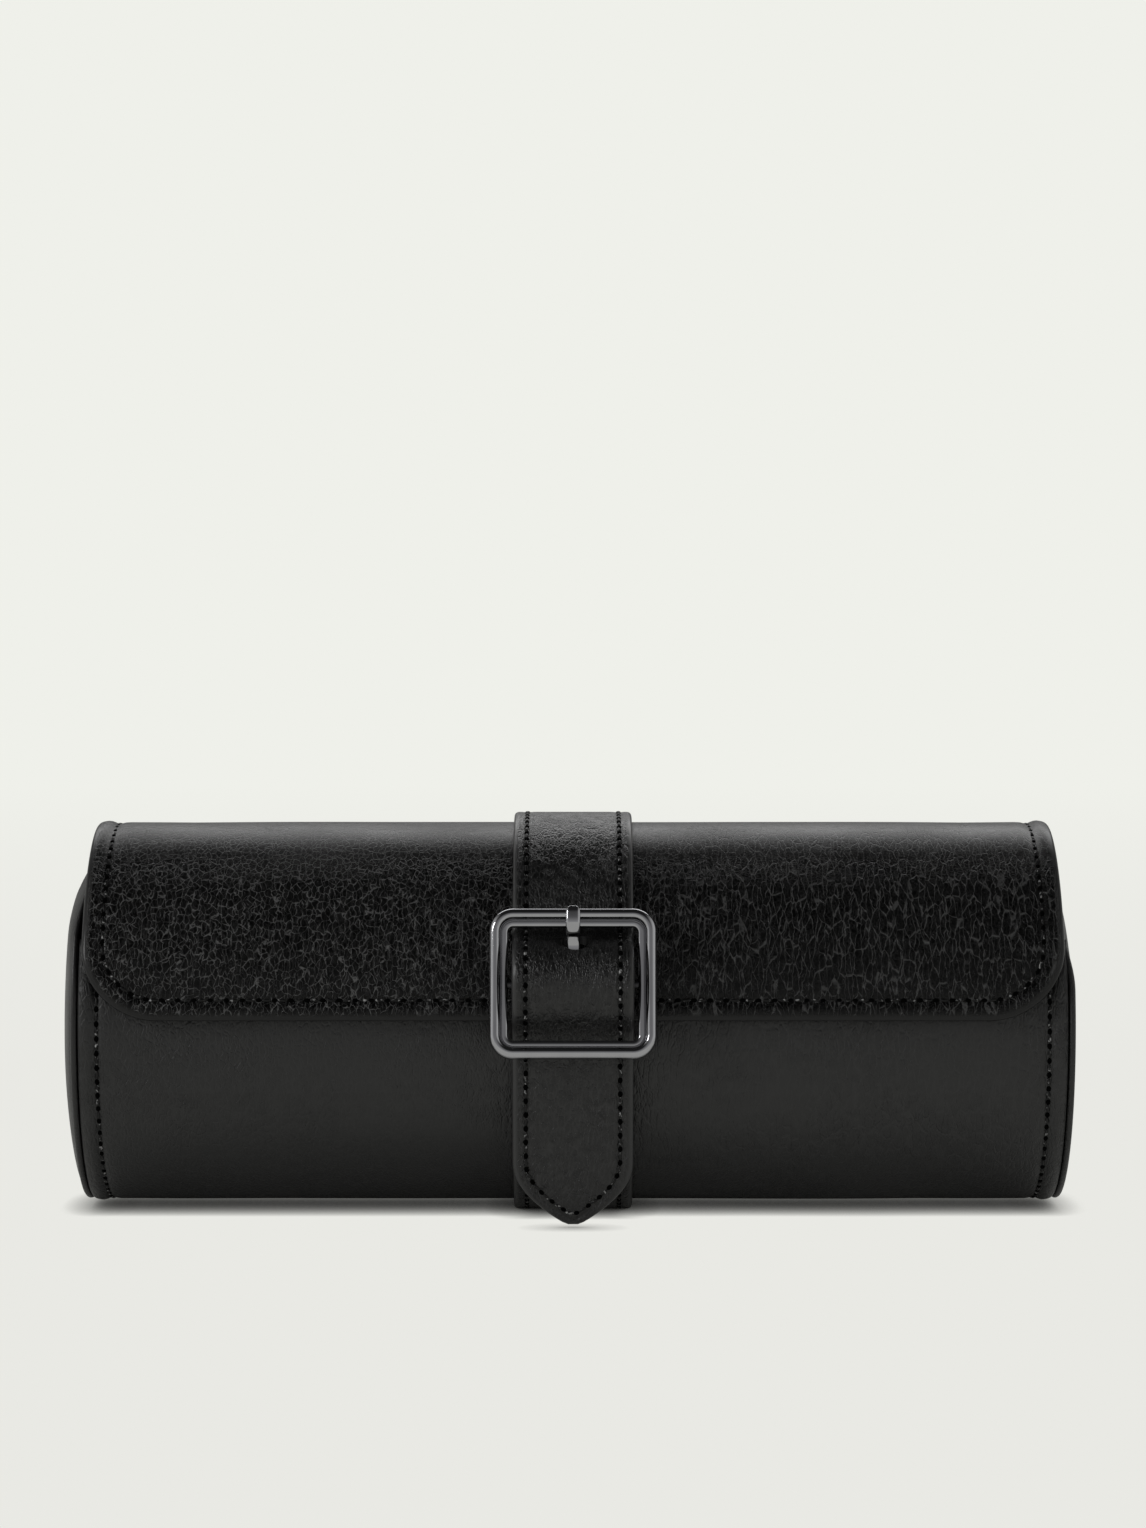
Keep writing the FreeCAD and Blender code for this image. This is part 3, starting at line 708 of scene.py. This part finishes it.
def makeBuckleFrame():
    halfWidth, halfHeight, corner = buckle["width"] / 2, buckle["height"] / 2, buckle["corner"]
    stations = []
    for quarter, (side, up) in enumerate(((1, 1), (-1, 1), (-1, -1), (1, -1))):
        for turn in evenly(0, 90, 7.5):
            angle = math.radians(quarter * 90 + turn)
            stations.append((side * (halfWidth - corner), up * (halfHeight - corner), math.cos(angle), math.sin(angle)))
    rings = []
    for x, up, acrossOut, upOut in stations:
        ring = []
        for place, height in frameProfile:
            reach = corner - buckle["rail"] + place
            ring.append(onBuckle(x + acrossOut * reach, up + upOut * reach, buckle["innerFace"] + height))
        rings.append(ring)
    piece = makeTube("buckleFrame", rings, gunmetal, closedPath=True)
    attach(piece, "buckle")
    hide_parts("buckle_frame")


prong = {"width": 3.0, "thickness": 1.8, "top": 47.6, "bendPlace": 11.8, "tipPlace": 15.9, "step": 0.35,
         "ringPoints": 20, "squareness": (0.55, 0.65), "tipRadius": 1.5, "tipFlat": 0.04, "slimShare": 0.62,
         "slimLength": 11.5, "fullAfter": 3.0}


def makeProng():
    # A slim bar turned round the centre bar, thicker where it lies on the top rail and rounded off at its end.
    tip, top = prong["tipPlace"], prong["top"]
    corners = [onBuckle(0, up, out) for up, out in (
        (1.2, 43.2), (-0.9, 43.1), (-1.45, 44.4), (-0.2, 45.6), (4.0, 45.5), (9.0, 44.9),
        (prong["bendPlace"], top + 0.1), (tip - 2.2, top), (tip, top - 0.35))]
    walk = smoothPath(corners, prong["step"])
    normals = pathNormals(walk, 1)
    total = len(walk) - 1
    wideSquare, highSquare = prong["squareness"]
    rings = []
    for number, (point, normal) in enumerate(zip(walk, normals)):
        toEnd, fromEye = (total - number) * prong["step"], number * prong["step"]
        share = roundShare(toEnd, prong["tipRadius"], 2.0) * (1 - prong["tipFlat"]) + prong["tipFlat"]
        full = clamped((fromEye - prong["slimLength"]) / prong["fullAfter"])
        thick = prong["thickness"] * (prong["slimShare"] + (1 - prong["slimShare"]) * full)
        ring = []
        for turn in ringTurns(prong["ringPoints"]):
            across = squarer(math.cos(turn), wideSquare) * prong["width"] / 2 * share
            rise = squarer(math.sin(turn), highSquare) * thick / 2 * share
            ring.append(point + Vector((across * mm, 0, 0)) + normal * rise * mm)
        rings.append(ring)
    piece = makeTube("buckleProng", rings, gunmetal)
    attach(piece, "prong")
    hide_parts("buckle_prong")


makeBuckleFrame()
makeProng()
print("buckle made")


# Ends: a padded leather cap, the welt round it, and the suede disc inside
# At the mouth, where no wall holds them out, they lean in under the flap. The left pad is the fuller one.
end = {"radius": 37.4, "rimPlace": 102.0, "plugRadius": 34.8, "plugDepth": 98.5, "liningDepth": 97.4, "shoulder": 0.7,
       "crownPower": 0.9, "turnStep": 3, "dimple": 0.06, "unevenness": 0.15, "leanInside": 22.0, "leanReach": 14.0,
       "left": {"crown": 107.2, "lean": 2.8, "leanFrom": 19.4, "leanTo": 34.0},
       "right": {"crown": 104.6, "lean": 3.2, "leanFrom": 9.0, "leanTo": 27.0}}
welt = {"ringRadius": 38.0, "thickness": 1.4, "place": 102.82, "turnStep": 2, "ringPoints": 14}


def eased(share):
    return share * share * (3 - 2 * share)


def leanIn(side, angle, radius):
    shape = end["right"] if side > 0 else end["left"]
    rise = radius * math.sin(math.radians(angle))
    share = clamped((rise - shape["leanFrom"]) / (shape["leanTo"] - shape["leanFrom"]))
    return shape["lean"] * eased(share) * eased(clamped((radius - end["leanInside"]) / end["leanReach"]))


def turnProfile(name, profile, side, material, unevenness=0.0):
    # A solid of revolution about the tube's axis, from (place along X, radius); both ends lie on the axis.
    rings = []
    for place, radius in profile[1:-1]:
        ring = []
        for angle in range(0, 360, end["turnStep"]):
            turn, spread = math.radians(angle), radius * end["dimple"]
            puff = unevenness * noise.noise(Vector((math.cos(turn) * spread, math.sin(turn) * spread, side * 2.0)))
            ring.append(aroundTube(side * (place + puff - leanIn(side, angle, radius)), angle, radius))
        rings.append(ring)
    return makeTube(name, rings, material)


def makeEnd(side, label):
    radius, rim, crown, shoulder = end["radius"], end["rimPlace"], end[label]["crown"], end["shoulder"]
    deep, plug = end["plugDepth"], end["plugRadius"]
    profile = [(deep, 0), (deep, 2), (deep, 20), (deep, plug - 0.3), (deep + 0.3, plug), (rim - 0.2, plug),
               (rim + 0.05, plug + 0.3), (rim + 0.1, radius - 0.5), (rim + 0.35, radius - 0.1),
               (rim + shoulder, radius)]
    for degrees in evenly(0, 90, 4.5)[1:]:
        turn = math.radians(degrees)
        bulge = (crown - rim - shoulder) * math.sin(turn) ** end["crownPower"]
        profile.append((rim + shoulder + bulge, radius * math.cos(turn)))
    profile = profile[:-1] + [(crown, 1.0), (crown, 0)]
    cap = turnProfile("endCap" + label.title(), profile, side, capCalf, unevenness=end["unevenness"])
    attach(cap, "body")
    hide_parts("cap_leather_" + label, "cap_padding_" + label, "cap_foam_" + label, "cap_board_" + label)
    inner, outer = end["liningDepth"], deep - 0.02
    disc = [(inner, 0), (inner, 2), (inner, 18), (inner, plug - 0.6), (inner + 0.15, plug - 0.2), (inner + 0.5, plug),
            (outer - 0.1, plug), (outer, plug - 0.2), (outer, 18), (outer, 0)]
    lining = turnProfile("endLining" + label.title(), disc, side, liningSuede)
    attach(lining, "body")
    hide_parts("cap_lining_" + label)
    rings, half = [], welt["thickness"] / 2
    for angle in range(0, 360, welt["turnStep"]):
        ring = []
        for turn in ringTurns(welt["ringPoints"]):
            place = welt["place"] - leanIn(side, angle, welt["ringRadius"]) + half * math.cos(turn)
            ring.append(aroundTube(side * place, angle, welt["ringRadius"] + half * math.sin(turn)))
        rings.append(ring)
    cord = makeTube("endWelt" + label.title(), rings, capCalf, closedPath=True)
    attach(cord, "body")
    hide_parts("end_welt_" + label)


makeEnd(1, "right")
makeEnd(-1, "left")
print("ends made")


# Inside: two dividers and three watch pillows
divider = {"place": 32.465, "thickness": 3.0, "radius": 34.8, "rise": 8.0, "edgeRadius": 1.5, "seatedRim": 0.6,
           "edge": [0, 0.01, 0.03, 0.06, 0.1]}
# The pressure is high because at the usual 4 the solver moves no point of these covers by more than 0.014 mm.
pillow = {"pitch": 64.93, "length": 57.1, "radius": 25.0, "drawnRadius": 22.0, "endCrown": 3.0, "height": 30.5,
          "step": 2.0, "ringPoints": 72, "slack": 0.9, "voxel": 2.2, "pressure": 400.0, "steps": 20, "mostMove": 1.6,
          "apart": 47}


def makeDivider(side, label):
    radius, rise = divider["radius"], divider["rise"]
    rows = []
    for level in evenly(0, 1, 0.01):
        z = -radius + (radius + rise) * level
        width = math.sqrt(max(radius ** 2 - z ** 2, 0.09))  # not quite a point at the bottom
        row = []
        for share in acrossWidth(1.0, 0.1, divider["edge"]):
            middle = Vector((side * divider["place"], share * width, roll["axisHeight"] + z)) * mm
            rim = min((1 - abs(share)) * width + divider["seatedRim"], rise - z)
            row.append((middle, Vector((1, 0, 0)), divider["thickness"] / 2, rim, farAway, (share * width, z)))
        rows.append(row)
    piece = makeSheet("divider" + label.title(), rows, divider["edgeRadius"], 2.0, liningSuede)
    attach(piece, "body")
    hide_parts("divider_" + label)


def pillowProfile(slack):
    # Fullest in the middle and drawn in towards both ends, which are rounded over: (place, radius).
    radius, drawn, crown = pillow["radius"] - slack, pillow["drawnRadius"] - slack, pillow["endCrown"]
    edge = pillow["length"] / 2 - slack - crown
    profile = []
    for place in evenly(-edge, edge, pillow["step"]):
        profile.append((place, drawn + (radius - drawn) * math.sqrt(max(0.0, 1 - (place / edge) ** 2))))
    for degrees in evenly(0, 84, 12)[1:]:
        turn = math.radians(degrees)
        profile.append((edge + crown * math.sin(turn), drawn * math.cos(turn)))
        profile.insert(0, (-edge - crown * math.sin(turn), drawn * math.cos(turn)))
    return profile


def makePillowMesh():
    # The cover starts a little small. The cloth solver bulges its ends out and draws in the rims round them.
    turns = ringTurns(pillow["ringPoints"])
    rings = []
    for place, size in pillowProfile(pillow["slack"]):
        rings.append([Vector((place, size * math.cos(turn), size * math.sin(turn))) * mm for turn in turns])
    cover = makeTube("pillowCover", rings, liningSuede)
    remesh = cover.modifiers.new("remesh", "REMESH")
    remesh.mode = "VOXEL"
    remesh.voxel_size = pillow["voxel"] * mm
    applyModifiers(cover)
    start = [vertex.co.copy() for vertex in cover.data.vertices]
    cloth = cover.modifiers.new("stuffing", "CLOTH")
    cloth.settings.use_pressure = True
    cloth.settings.uniform_pressure_force = pillow["pressure"]
    cloth.settings.effector_weights.gravity = 0
    scene = bpy.context.scene
    for number in range(pillow["steps"]):
        scene.frame_set(number + 1)
    applyModifiers(cover)
    scene.frame_set(1)
    for vertex, before in zip(cover.data.vertices, start):
        move = vertex.co - before
        if move.length > pillow["mostMove"] * mm:
            vertex.co = before + move.normalized() * pillow["mostMove"] * mm
    return cover


def makePillows():
    cover = makePillowMesh()
    for number in (1, 2, 3):
        mesh = cover.data.copy()
        turn = math.radians(pillow["apart"] * number)  # so that the three don't look alike
        for vertex in mesh.vertices:
            x, y, z = vertex.co  # kept no longer and no thicker than the CAD cover
            size = max(1.0, math.hypot(y, z) / (pillow["radius"] * mm))
            y, z = y / size, z / size
            x = max(-pillow["length"] / 2 * mm, min(pillow["length"] / 2 * mm, x))
            vertex.co = Vector((x + (number - 2) * pillow["pitch"] * mm, y * math.cos(turn) - z * math.sin(turn),
                                y * math.sin(turn) + z * math.cos(turn) + pillow["height"] * mm))
        piece = addObject("pillow%d" % number, mesh, liningSuede)
        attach(piece, "pillow_%d" % number)
        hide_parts("pillow_cover_%d" % number, "pillow_core_%d" % number)
    bpy.data.objects.remove(cover)


makeDivider(1, "right")
makeDivider(-1, "left")
makePillows()
print("inside made")


# Stitches: a thread loop between two needle holes, repeated along each row
# sit is how far above the drawn-in leather a row's middle lies.
stitch = {"length": 2.0, "width": 0.7, "height": 0.5, "holeLength": 1.35, "holeWidth": 1.0, "seed": 4,
          "slant": (0.05, 0.05, 0.16),  # radians
          "flap": {"pitch": 3.3, "sit": 0.06}, "strap": {"pitch": 2.9, "sit": 0.04},
          "tube": {"pitch": 3.05, "sit": 0.1}, "underEnd": -45.0, "pointGap": 0.35}


def makeStitchTree():
    tree = bpy.data.node_groups.new("stitchRow", "GeometryNodeTree")
    tree.interface.new_socket("Rows", in_out="INPUT", socket_type="NodeSocketGeometry")
    for label in ("Pitch", "Stitch Length", "Stitch Width", "Stitch Height", "Hole Length", "Hole Width"):
        tree.interface.new_socket(label, in_out="INPUT", socket_type="NodeSocketFloat")
    tree.interface.new_socket("Seed", in_out="INPUT", socket_type="NodeSocketInt")
    for label in ("Thread", "Hole"):
        tree.interface.new_socket(label, in_out="INPUT", socket_type="NodeSocketMaterial")
    tree.interface.new_socket("Stitches", in_out="OUTPUT", socket_type="NodeSocketGeometry")
    given = addNode(tree, "NodeGroupInput").outputs
    halfPitch = addNode(tree, "ShaderNodeMath", {0: given["Pitch"], 1: 0.5}, operation="MULTIPLY")
    curve = addNode(tree, "GeometryNodeMeshToCurve", {"Mesh": given["Rows"]})
    spaced = addNode(tree, "GeometryNodeResampleCurve",
                     {"Curve": curve.outputs[0], "Length": halfPitch.outputs[0]}, mode="LENGTH")
    tangent = addNode(tree, "GeometryNodeInputTangent")
    lift = addNode(tree, "GeometryNodeInputNamedAttribute", {"Name": "lift"}, data_type="FLOAT_VECTOR")
    along = addNode(tree, "FunctionNodeAlignRotationToVector", {"Vector": tangent.outputs[0]}, axis="X")
    upright = addNode(tree, "FunctionNodeAlignRotationToVector",
                      {"Rotation": along.outputs[0], "Vector": lift.outputs[0]}, axis="Z", pivot_axis="X")
    index = addNode(tree, "GeometryNodeInputIndex")
    odd = addNode(tree, "ShaderNodeMath", {0: index.outputs[0], 1: 2.0}, operation="MODULO")
    even = addNode(tree, "ShaderNodeMath", {0: 1.0, 1: odd.outputs[0]}, operation="SUBTRACT")
    slant = addNode(tree, "FunctionNodeRandomValue",
                    {"Min": [-turn for turn in stitch["slant"]], "Max": stitch["slant"], "Seed": given["Seed"]},
                    data_type="FLOAT_VECTOR")
    turned = addNode(tree, "FunctionNodeRotateRotation",
                     {"Rotation": upright.outputs[0], "Rotate By": slant.outputs[0]}, rotation_space="LOCAL")
    results = []
    for chosen, rotation, sizes, material in (
            (even, turned, ("Stitch Length", "Stitch Width", "Stitch Height"), "Thread"),
            (odd, upright, ("Hole Length", "Hole Width", "Stitch Height"), "Hole")):
        ball = addNode(tree, "GeometryNodeMeshUVSphere", {"Segments": 8, "Rings": 6, "Radius": 0.5})
        size = addNode(tree, "ShaderNodeCombineXYZ", {0: given[sizes[0]], 1: given[sizes[1]], 2: given[sizes[2]]})
        shaped = addNode(tree, "GeometryNodeTransform", {"Geometry": ball.outputs[0], "Scale": size.outputs[0]})
        smooth = addNode(tree, "GeometryNodeSetShadeSmooth", {"Geometry": shaped.outputs[0]})
        placed = addNode(tree, "GeometryNodeInstanceOnPoints",
                         {"Points": spaced.outputs[0], "Selection": chosen.outputs[0],
                          "Instance": smooth.outputs[0], "Rotation": rotation.outputs[0]})
        real = addNode(tree, "GeometryNodeRealizeInstances", {"Geometry": placed.outputs[0]})
        results.append(addNode(tree, "GeometryNodeSetMaterial",
                               {"Geometry": real.outputs[0], "Material": given[material]}))
    both = addNode(tree, "GeometryNodeJoinGeometry", {0: results[0].outputs[0]})
    tree.links.new(results[1].outputs[0], both.inputs[0])
    addNode(tree, "NodeGroupOutput", {0: both.outputs[0]})
    return tree


stitchTree = makeStitchTree()
# Needle holes: black, with no shine of their own; painted shade for the dark inside of each hole.
needleHoleShade, _, holeShader = newMaterial("needleHoleShade")
holeShader.inputs["Base Color"].default_value = linearColor("#030303")
holeShader.inputs["Roughness"].default_value = 0.8
holeShader.inputs["IOR"].default_value = 1.1


def makeStitches(name, rows, pitch):
    # Each row is a list of (point, normal).
    points, edges, lifts = [], [], []
    for row in rows:
        for number, (point, normal) in enumerate(row):
            if number:
                edges.append((len(points) - 1, len(points)))
            points.append(point)
            lifts.extend(normal)
    mesh = bpy.data.meshes.new(name)
    mesh.from_pydata(points, edges, [])
    mesh.attributes.new("lift", "FLOAT_VECTOR", "POINT").data.foreach_set("vector", lifts)
    piece = addObject(name, mesh, None)
    modifier = piece.modifiers.new("stitches", "NODES")
    values = {"Pitch": pitch * mm, "Stitch Length": stitch["length"] * mm, "Stitch Width": stitch["width"] * mm,
              "Stitch Height": stitch["height"] * mm, "Hole Length": stitch["holeLength"] * mm,
              "Hole Width": stitch["holeWidth"] * mm, "Seed": stitch["seed"], "Thread": thread, "Hole": needleHoleShade}
    sockets = {item.name: item.identifier for item in stitchTree.interface.items_tree if item.in_out == "INPUT"}
    modifier.node_group = stitchTree
    for label, value in values.items():
        modifier[sockets[label]] = value
    applyModifiers(piece)
    return piece


def flapRow():
    inset, corner = flap["rowInset"], flap["corner"]
    side, middle, bend = flap["half"] - inset, flap["half"] - corner, corner - inset
    arc = [math.radians(turn) for turn in evenly(0, 90, 6)]
    flat = [(-side, along) for along in evenly(flapLength - inset, corner, 2)]
    flat += [(-middle - bend * math.cos(turn), corner - bend * math.sin(turn)) for turn in arc]
    flat += [(x, inset) for x in evenly(-middle, middle, 3)]
    flat += [(middle + bend * math.sin(turn), corner - bend * math.cos(turn)) for turn in arc]
    flat += [(side, along) for along in evenly(corner, flapLength - inset, 2)]
    radius = flap["outerRadius"] - flap["pinch"] + stitch["flap"]["sit"]
    return [(aroundTube(x, flapAngle(along), radius), outward(flapAngle(along))) for x, along in flat]


def strapEdgeRows(walk, hand):
    rows = []
    out = strap["thickness"] / 2 - strap["pinch"] + stitch["strap"]["sit"]
    for side in (-1, 1):
        sideways = Vector((side * (strap["half"] - strap["rowInset"]) * mm, 0, 0))
        row = []
        for middle, normal in zip(walk, pathNormals(walk, hand)):
            point = middle + normal * out * mm + sideways
            point.z = max(point.z, 0.3 * mm)  # above the table
            row.append((point, normal))
        rows.append(row)
    return rows


def strapTipRow():
    # Down one side, round the inside of the point and up the other.
    normals = pathNormals(endWalk, -1)
    lengths = lengthsAlong(endWalk, mm)
    total = lengths[-1]
    left = []
    for number, point in enumerate(endWalk):
        toTip = total - lengths[number]
        slope = tipWidth(toTip + 0.5) - tipWidth(max(0, toTip - 0.5))  # over one millimetre
        x = tipWidth(toTip) - strap["rowInset"] * math.hypot(1, slope)
        if x < stitch["pointGap"]:
            break
        out = endHalf(lengths[number]) - strap["pinch"] + stitch["strap"]["sit"]
        left.append((x, point + normals[number] * out * mm, normals[number]))
    row = [(point + Vector((-x * mm, 0, 0)), normal) for x, point, normal in left]
    return row + [(point + Vector((x * mm, 0, 0)), normal) for x, point, normal in reversed(left)]


def makeAllStitches():
    strapPitch = stitch["strap"]["pitch"]
    flapSewing = makeStitches("flapStitches", [flapRow()], stitch["flap"]["pitch"])
    bendAtHinge(flapSewing)
    overSewing = makeStitches("strapOverStitches", strapEdgeRows(overWalk, -1), strapPitch)
    bendAtHinge(overSewing)
    endSewing = makeStitches("strapEndStitches", [strapTipRow()], strapPitch)
    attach(endSewing, "flap")
    tubeRows, radius = [], roll["tubeRadius"] - tube["pinch"] + stitch["tube"]["sit"]
    for x in (-roll["halfTube"] + tube["rowInset"], roll["halfTube"] - tube["rowInset"]):
        tubeRows.append([(aroundTube(x, angle, radius), outward(angle))
                         for angle in evenly(roll["hingeAngle"] - 358, roll["lipAngle"] - 2, 3)])
    tubeSewing = makeStitches("tubeStitches", tubeRows, stitch["tube"]["pitch"])
    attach(tubeSewing, "body")
    rowEnd = aroundTube(0, stitch["underEnd"], strap["underRadius"])
    lastUnder = next(number for number, point in enumerate(underWalk) if (point - rowEnd).length < 2 * mm)
    underSewing = makeStitches("strapUnderStitches", strapEdgeRows(underWalk[:lastUnder], 1), strapPitch)
    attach(underSewing, "body")


makeAllStitches()
print("stitches made")


# CAD pieces that stay as they are
for nodeName, material in (("buckle_bar", barMetal), ("body_board", board)):
    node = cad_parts[nodeName]
    node.data.materials.clear()
    node.data.materials.append(material)


# Studio: a bright pale table that runs into a pale wall, a strip softbox high at the back and a small lamp at the left
studio = {"pale": "#eff0ea", "table": "#e9e9e4", "wall": "#8e8e8c", "overhead": "#2c2c2c", "front": "#a0a0a0",
          "horizon": "#bcbcbc", "side": "#e8e8e6", "tableHalf": 6.0, "tableFade": (0.3, 2.0), "tableGlow": 0.85,
          "contactReach": 6.5, "shadeReach": 24.0, "softboxPower": 6.0, "softboxSize": (1.6, 0.6),
          "softboxPlace": (0.0, 1.3, 0.95), "lampPower": 3.2, "lampSize": (0.12, 0.4),
          "lampPlace": (-0.95, -0.45, 0.6), "aim": (0, 0, 0.04)}
camera = {"distance": 968.0, "elevation": 5.5, "pitch": -2.3, "focalPixels": 4511.0, "imageHeight": 1528.0}


def makeFloor():
    mesh = bpy.data.meshes.new("floor")
    size, (fadeFrom, fadeTo) = studio["tableHalf"], studio["tableFade"]
    mesh.from_pydata([(-size, -size, 0), (size, -size, 0), (size, size, 0), (-size, size, 0)], [], [(0, 1, 2, 3)])
    # Matt painted board: plain and pale to the camera and in the metal, with a painted shadow close under the roll.
    material, tree, shader = newMaterial("paleTable")
    path = addNode(tree, "ShaderNodeLightPath").outputs
    spot = addNode(tree, "ShaderNodeTexCoord").outputs["Object"]
    reach = addNode(tree, "ShaderNodeVectorMath", {0: spot}, operation="LENGTH")
    far = addNode(tree, "ShaderNodeMapRange", {0: reach.outputs["Value"], 1: fadeFrom, 2: fadeTo})
    tone = addNode(tree, "ShaderNodeMix", {0: far.outputs[0], 6: linearColor(studio["table"]),
                                           7: linearColor(studio["pale"])}, data_type="RGBA")
    # Painted shadow: ambient occlusion darkens the floor's glow near the roll, narrowly for the camera and more widely
    # in reflections.
    contactShadow = addNode(tree, "ShaderNodeAmbientOcclusion", {"Distance": studio["contactReach"] * mm}, samples=16)
    shade = addNode(tree, "ShaderNodeAmbientOcclusion", {"Distance": studio["shadeReach"] * mm}, samples=6)
    mirrored = addNode(tree, "ShaderNodeMath", {0: shade.outputs["AO"], 1: studio["tableGlow"]}, operation="MULTIPLY")
    level = addNode(tree, "ShaderNodeMix", {0: path["Is Camera Ray"], 2: mirrored.outputs[0], 3: contactShadow.outputs["AO"]})
    glow = addNode(tree, "ShaderNodeEmission", {"Color": tone.outputs[2], "Strength": level.outputs[0]})
    seen = addNode(tree, "ShaderNodeMath", {0: path["Is Camera Ray"], 1: path["Is Glossy Ray"]}, operation="MAXIMUM")
    shader.inputs["Base Color"].default_value = linearColor(studio["table"])
    shader.inputs["Roughness"].default_value = 0.9
    mix = addNode(tree, "ShaderNodeMixShader", {0: seen.outputs[0], 1: shader.outputs[0], 2: glow.outputs[0]})
    tree.links.new(mix.outputs[0], tree.nodes["Material Output"].inputs[0])
    addObject("floor", mesh, material)


def makeLight():
    world = bpy.data.worlds.new("studio")
    bpy.context.scene.world = world
    world.use_nodes = True
    tree = world.node_tree
    tree.nodes.clear()
    toward = addNode(tree, "ShaderNodeTexCoord").outputs["Generated"]
    parts = addNode(tree, "ShaderNodeSeparateXYZ", {0: toward}).outputs
    sideways = addNode(tree, "ShaderNodeMath", {0: parts[0]}, operation="ABSOLUTE").outputs[0]
    shares = {}  # each goes from 0 to 1 as one part of the direction looked in goes from low to high
    for label, direction, low, high in (("sideways", sideways, 0.45, 0.95), ("behind", parts[1], -0.4, 0.2),
                                        ("highBehind", parts[2], 0.15, 0.95), ("highFront", parts[2], 0.3, 0.8),
                                        ("offHorizon", parts[2], 0.02, 0.35)):
        shares[label] = addNode(tree, "ShaderNodeMapRange", {0: direction, 1: low, 2: high},
                                interpolation_type="SMOOTHSTEP").outputs[0]
    shares["seen"] = addNode(tree, "ShaderNodeLightPath").outputs["Is Camera Ray"]
    tones = {label: linearColor(studio[label]) for label in ("pale", "wall", "overhead", "front", "horizon", "side")}
    for label, share, first, second in (("back", "highBehind", "wall", "overhead"),
                                        ("upper", "highFront", "front", "overhead"),
                                        ("before", "offHorizon", "horizon", "upper"),
                                        ("depth", "behind", "before", "back"),
                                        ("room", "sideways", "depth", "side"), ("shown", "seen", "room", "pale")):
        tones[label] = addNode(tree, "ShaderNodeMix", {0: shares[share], 6: tones[first], 7: tones[second]},
                               data_type="RGBA").outputs[2]
    background = addNode(tree, "ShaderNodeBackground", {"Color": tones["shown"], "Strength": 1.0})
    addNode(tree, "ShaderNodeOutputWorld", {0: background.outputs[0]})
    for name in ("softbox", "lamp"):
        light = bpy.data.lights.new(name, "AREA")
        light.shape = "RECTANGLE"
        light.size, light.size_y = studio[name + "Size"]
        light.energy = studio[name + "Power"]
        holder = bpy.data.objects.new(name, light)
        holder.location = studio[name + "Place"]
        holder.rotation_euler = (Vector(studio["aim"]) - holder.location).to_track_quat("-Z", "Y").to_euler()
        bpy.context.scene.collection.objects.link(holder)


def makeCamera():
    lens = bpy.data.cameras.new("camera")
    lens.sensor_fit = "VERTICAL"
    lens.sensor_height = 36.0
    lens.lens = camera["focalPixels"] / camera["imageHeight"] * lens.sensor_height
    lens.clip_start = 0.05
    eye = bpy.data.objects.new("camera", lens)
    rise = math.radians(camera["elevation"])
    away, above = camera["distance"] * math.cos(rise), camera["distance"] * math.sin(rise)
    eye.location = Vector((0, -away, roll["axisHeight"] + above)) * mm
    eye.rotation_euler = (math.radians(90 + camera["pitch"]), 0, 0)
    bpy.context.scene.collection.objects.link(eye)
    bpy.context.scene.camera = eye


makeFloor()
makeLight()
makeCamera()
bpy.context.scene.view_settings.view_transform = "Standard"
print("studio made")
